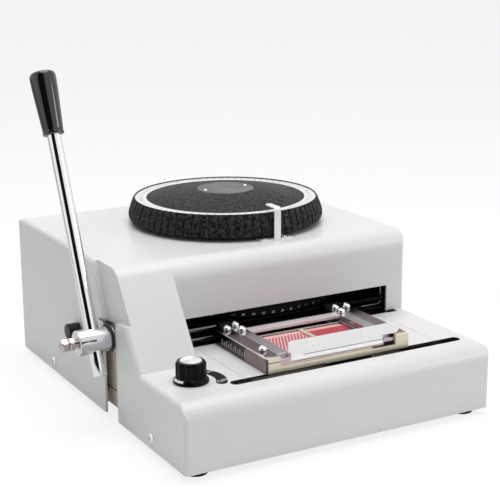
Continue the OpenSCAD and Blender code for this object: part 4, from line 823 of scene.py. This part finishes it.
def mottled(tree, ground):
    """The colour where a fine noise is high, and near black where it is low."""
    spot = wired(tree, "ShaderNodeTexCoord")
    grain = wired(tree, "ShaderNodeTexNoise", ("Vector", spot.outputs["Object"]), ("Scale", CRINKLE),
                  ("Detail", 2.0))
    spread = carried(tree, grain.outputs["Fac"], (0.4, 0.62), (0.0, 1.0))
    return blend(tree, spread, (0.002, 0.002, 0.002, 1), ground)


crinkle_black = worn_and_sheen_finish("crinkle_black", (0.034, 0.031, 0.031), (0.055, 0.05, 0.05), (0.12, 0.12, 0.12),
                            (0.5, 0.62), grain=CRINKLE, depth=0.0006, radius=0.0006, specular=0.14,
                            pattern=mottled)
wheel_rings = turned(wheel_profile, WHEEL_SPOT, columns=columns, shape=segmented)
wheel = closed_skins("hand_wheel", [wheel_rings], crinkle_black, sharp=50.0)
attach(wheel, "wheel")
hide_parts("dial_wheel")

ring_silver = worn_and_sheen_finish("ring_silver", (0.78, 0.78, 0.79), (0.86, 0.86, 0.86), (0.95, 0.95, 0.95), (0.3, 0.42),
                          metal=0.35, grain=700.0, depth=0.00002)
ring = [(77.25, 20.55), (77.25, 21.0), (77.45, 21.2), (88.1, 21.2), (88.35, 21.0), (88.35, 20.55)]
ring_piece = closed_skins("ring_plate", [turned(ring, WHEEL_SPOT, columns=288)], ring_silver, looped=True)
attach(ring_piece, "wheel")
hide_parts("dial_ring")

# Digits and letters, twice round, each read with its foot towards the middle
GLYPHS, GLYPH_SIZE, GLYPH_R, GLYPH_Z = "0123456789ABCDEFGHIJKLMNOPQRSTUVWXYZ" * 2, 5.6, 82.8, 21.23
ring_words = [(letter, GLYPH_SIZE,
               (WHEEL_SPOT[0] + GLYPH_R * math.cos(turn), WHEEL_SPOT[1] + GLYPH_R * math.sin(turn)),
               turn + np.pi / 2)
              for letter, turn in zip(GLYPHS, 2 * np.pi * np.arange(CHARACTERS) / CHARACTERS)]
print_grey = worn_and_sheen_finish("print_grey", (0.22, 0.22, 0.22), (0.30, 0.30, 0.30), (0.3, 0.3, 0.3), (0.4, 0.5))
glyphs = mesh_piece("ring_characters", *flat_words(ring_words, WHEEL_SPOT[2] + GLYPH_Z), print_grey)
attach(glyphs, "wheel")

badge_grey = worn_and_sheen_finish("badge_grey", (0.05, 0.043, 0.05), (0.13, 0.115, 0.128), (0.4, 0.4, 0.4), (0.3, 0.45),
                         metal=0.6, grain=500.0, depth=0.00006, drift=60.0)
badge = [(0.5, 28.05), (BADGE_R, 28.05), (BADGE_R, 28.9), (BADGE_R - 0.3, 29.1), (BADGE_R - 1.5, 29.1),
         (BADGE_R - 1.9, 28.8), (0.5, 28.8)]
badge_piece = closed_skins("badge_plate", [turned(badge, WHEEL_SPOT, columns=144)], badge_grey)
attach(badge_piece, "wheel")
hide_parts("dial_badge")
rivet = [(0.2, 28.6), (1.6, 28.6), (1.6, 28.95), (1.35, 29.4), (0.9, 29.75), (0.2, 29.88)]
rivets = closed_skins("badge_rivets", [turned(rivet, np.array(WHEEL_SPOT) + (s * 0.8 * BADGE_R, 0, 0), columns=24)
                                       for s in (-1, 1)], bright_chrome)
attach(rivets, "wheel")


# ---- Pointer ----
# Bright steel strap, screwed to the top of the casing and bent up in front of
# the hand wheel and back over its ring, to point at a character.
bright_strap = worn_and_sheen_finish("bright_strap", (0.85, 0.85, 0.85), (0.9, 0.9, 0.9), (0.97, 0.97, 0.97), (0.2, 0.3),
                           metal=0.4, grain=600.0, depth=0.00001, radius=0.0003)
POINTER_X, STRAP_HALF, STRAP_THICK, STRAP_BEND = 175.5, 3.4, 1.2, 2.2
STRAP_Y, STRAP_Z, FOOT_Z = 157.8, 164.9, (134.5, 135.7)
turn = np.linspace(0, np.pi / 2, 9)
line = np.concatenate([[(STRAP_Y, FOOT_Z[0]), (STRAP_Y, 150)],
                       np.stack([STRAP_Y + STRAP_BEND * (1 - np.cos(turn)),
                                 STRAP_Z - STRAP_BEND + STRAP_BEND * np.sin(turn)], 1),
                       [(y, STRAP_Z) for y in (166, 172.8, 174.4, 175.5, 176.1, 176.3)]])
# The strap follows the line in the y z plane, its thickness square to it, and narrows over its last four points
width = np.r_[np.ones(len(line) - 4), 0.93, 0.75, 0.5, 0.2][:, None]
way = np.gradient(line, axis=0)
way /= np.linalg.norm(way, axis=1)[:, None]
across = np.stack([-way[:, 1], way[:, 0]], 1)
strap = np.stack([np.column_stack([POINTER_X + sx * STRAP_HALF * width, line + sn * STRAP_THICK / 2 * across])
                  for sx, sn in ((-1, -1), (1, -1), (1, 1), (-1, 1))], 1)
foot_x, foot_y = (159.5, 191.5, 191.5, 159.5), (158.4, 158.4, 169.2, 169.2)
foot_plate = [np.column_stack([foot_x, foot_y, np.full(4, z)]) for z in FOOT_Z]
pointer = closed_skins("pointer_strap", [mm(strap), mm(foot_plate)], bright_strap)
edge = pointer.modifiers.new("edge", "BEVEL")
edge.width, edge.segments, edge.limit_method = 0.00025, 2, "ANGLE"
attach(pointer, "root")
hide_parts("pointer")
dress(bright_chrome, "pointer_screws")
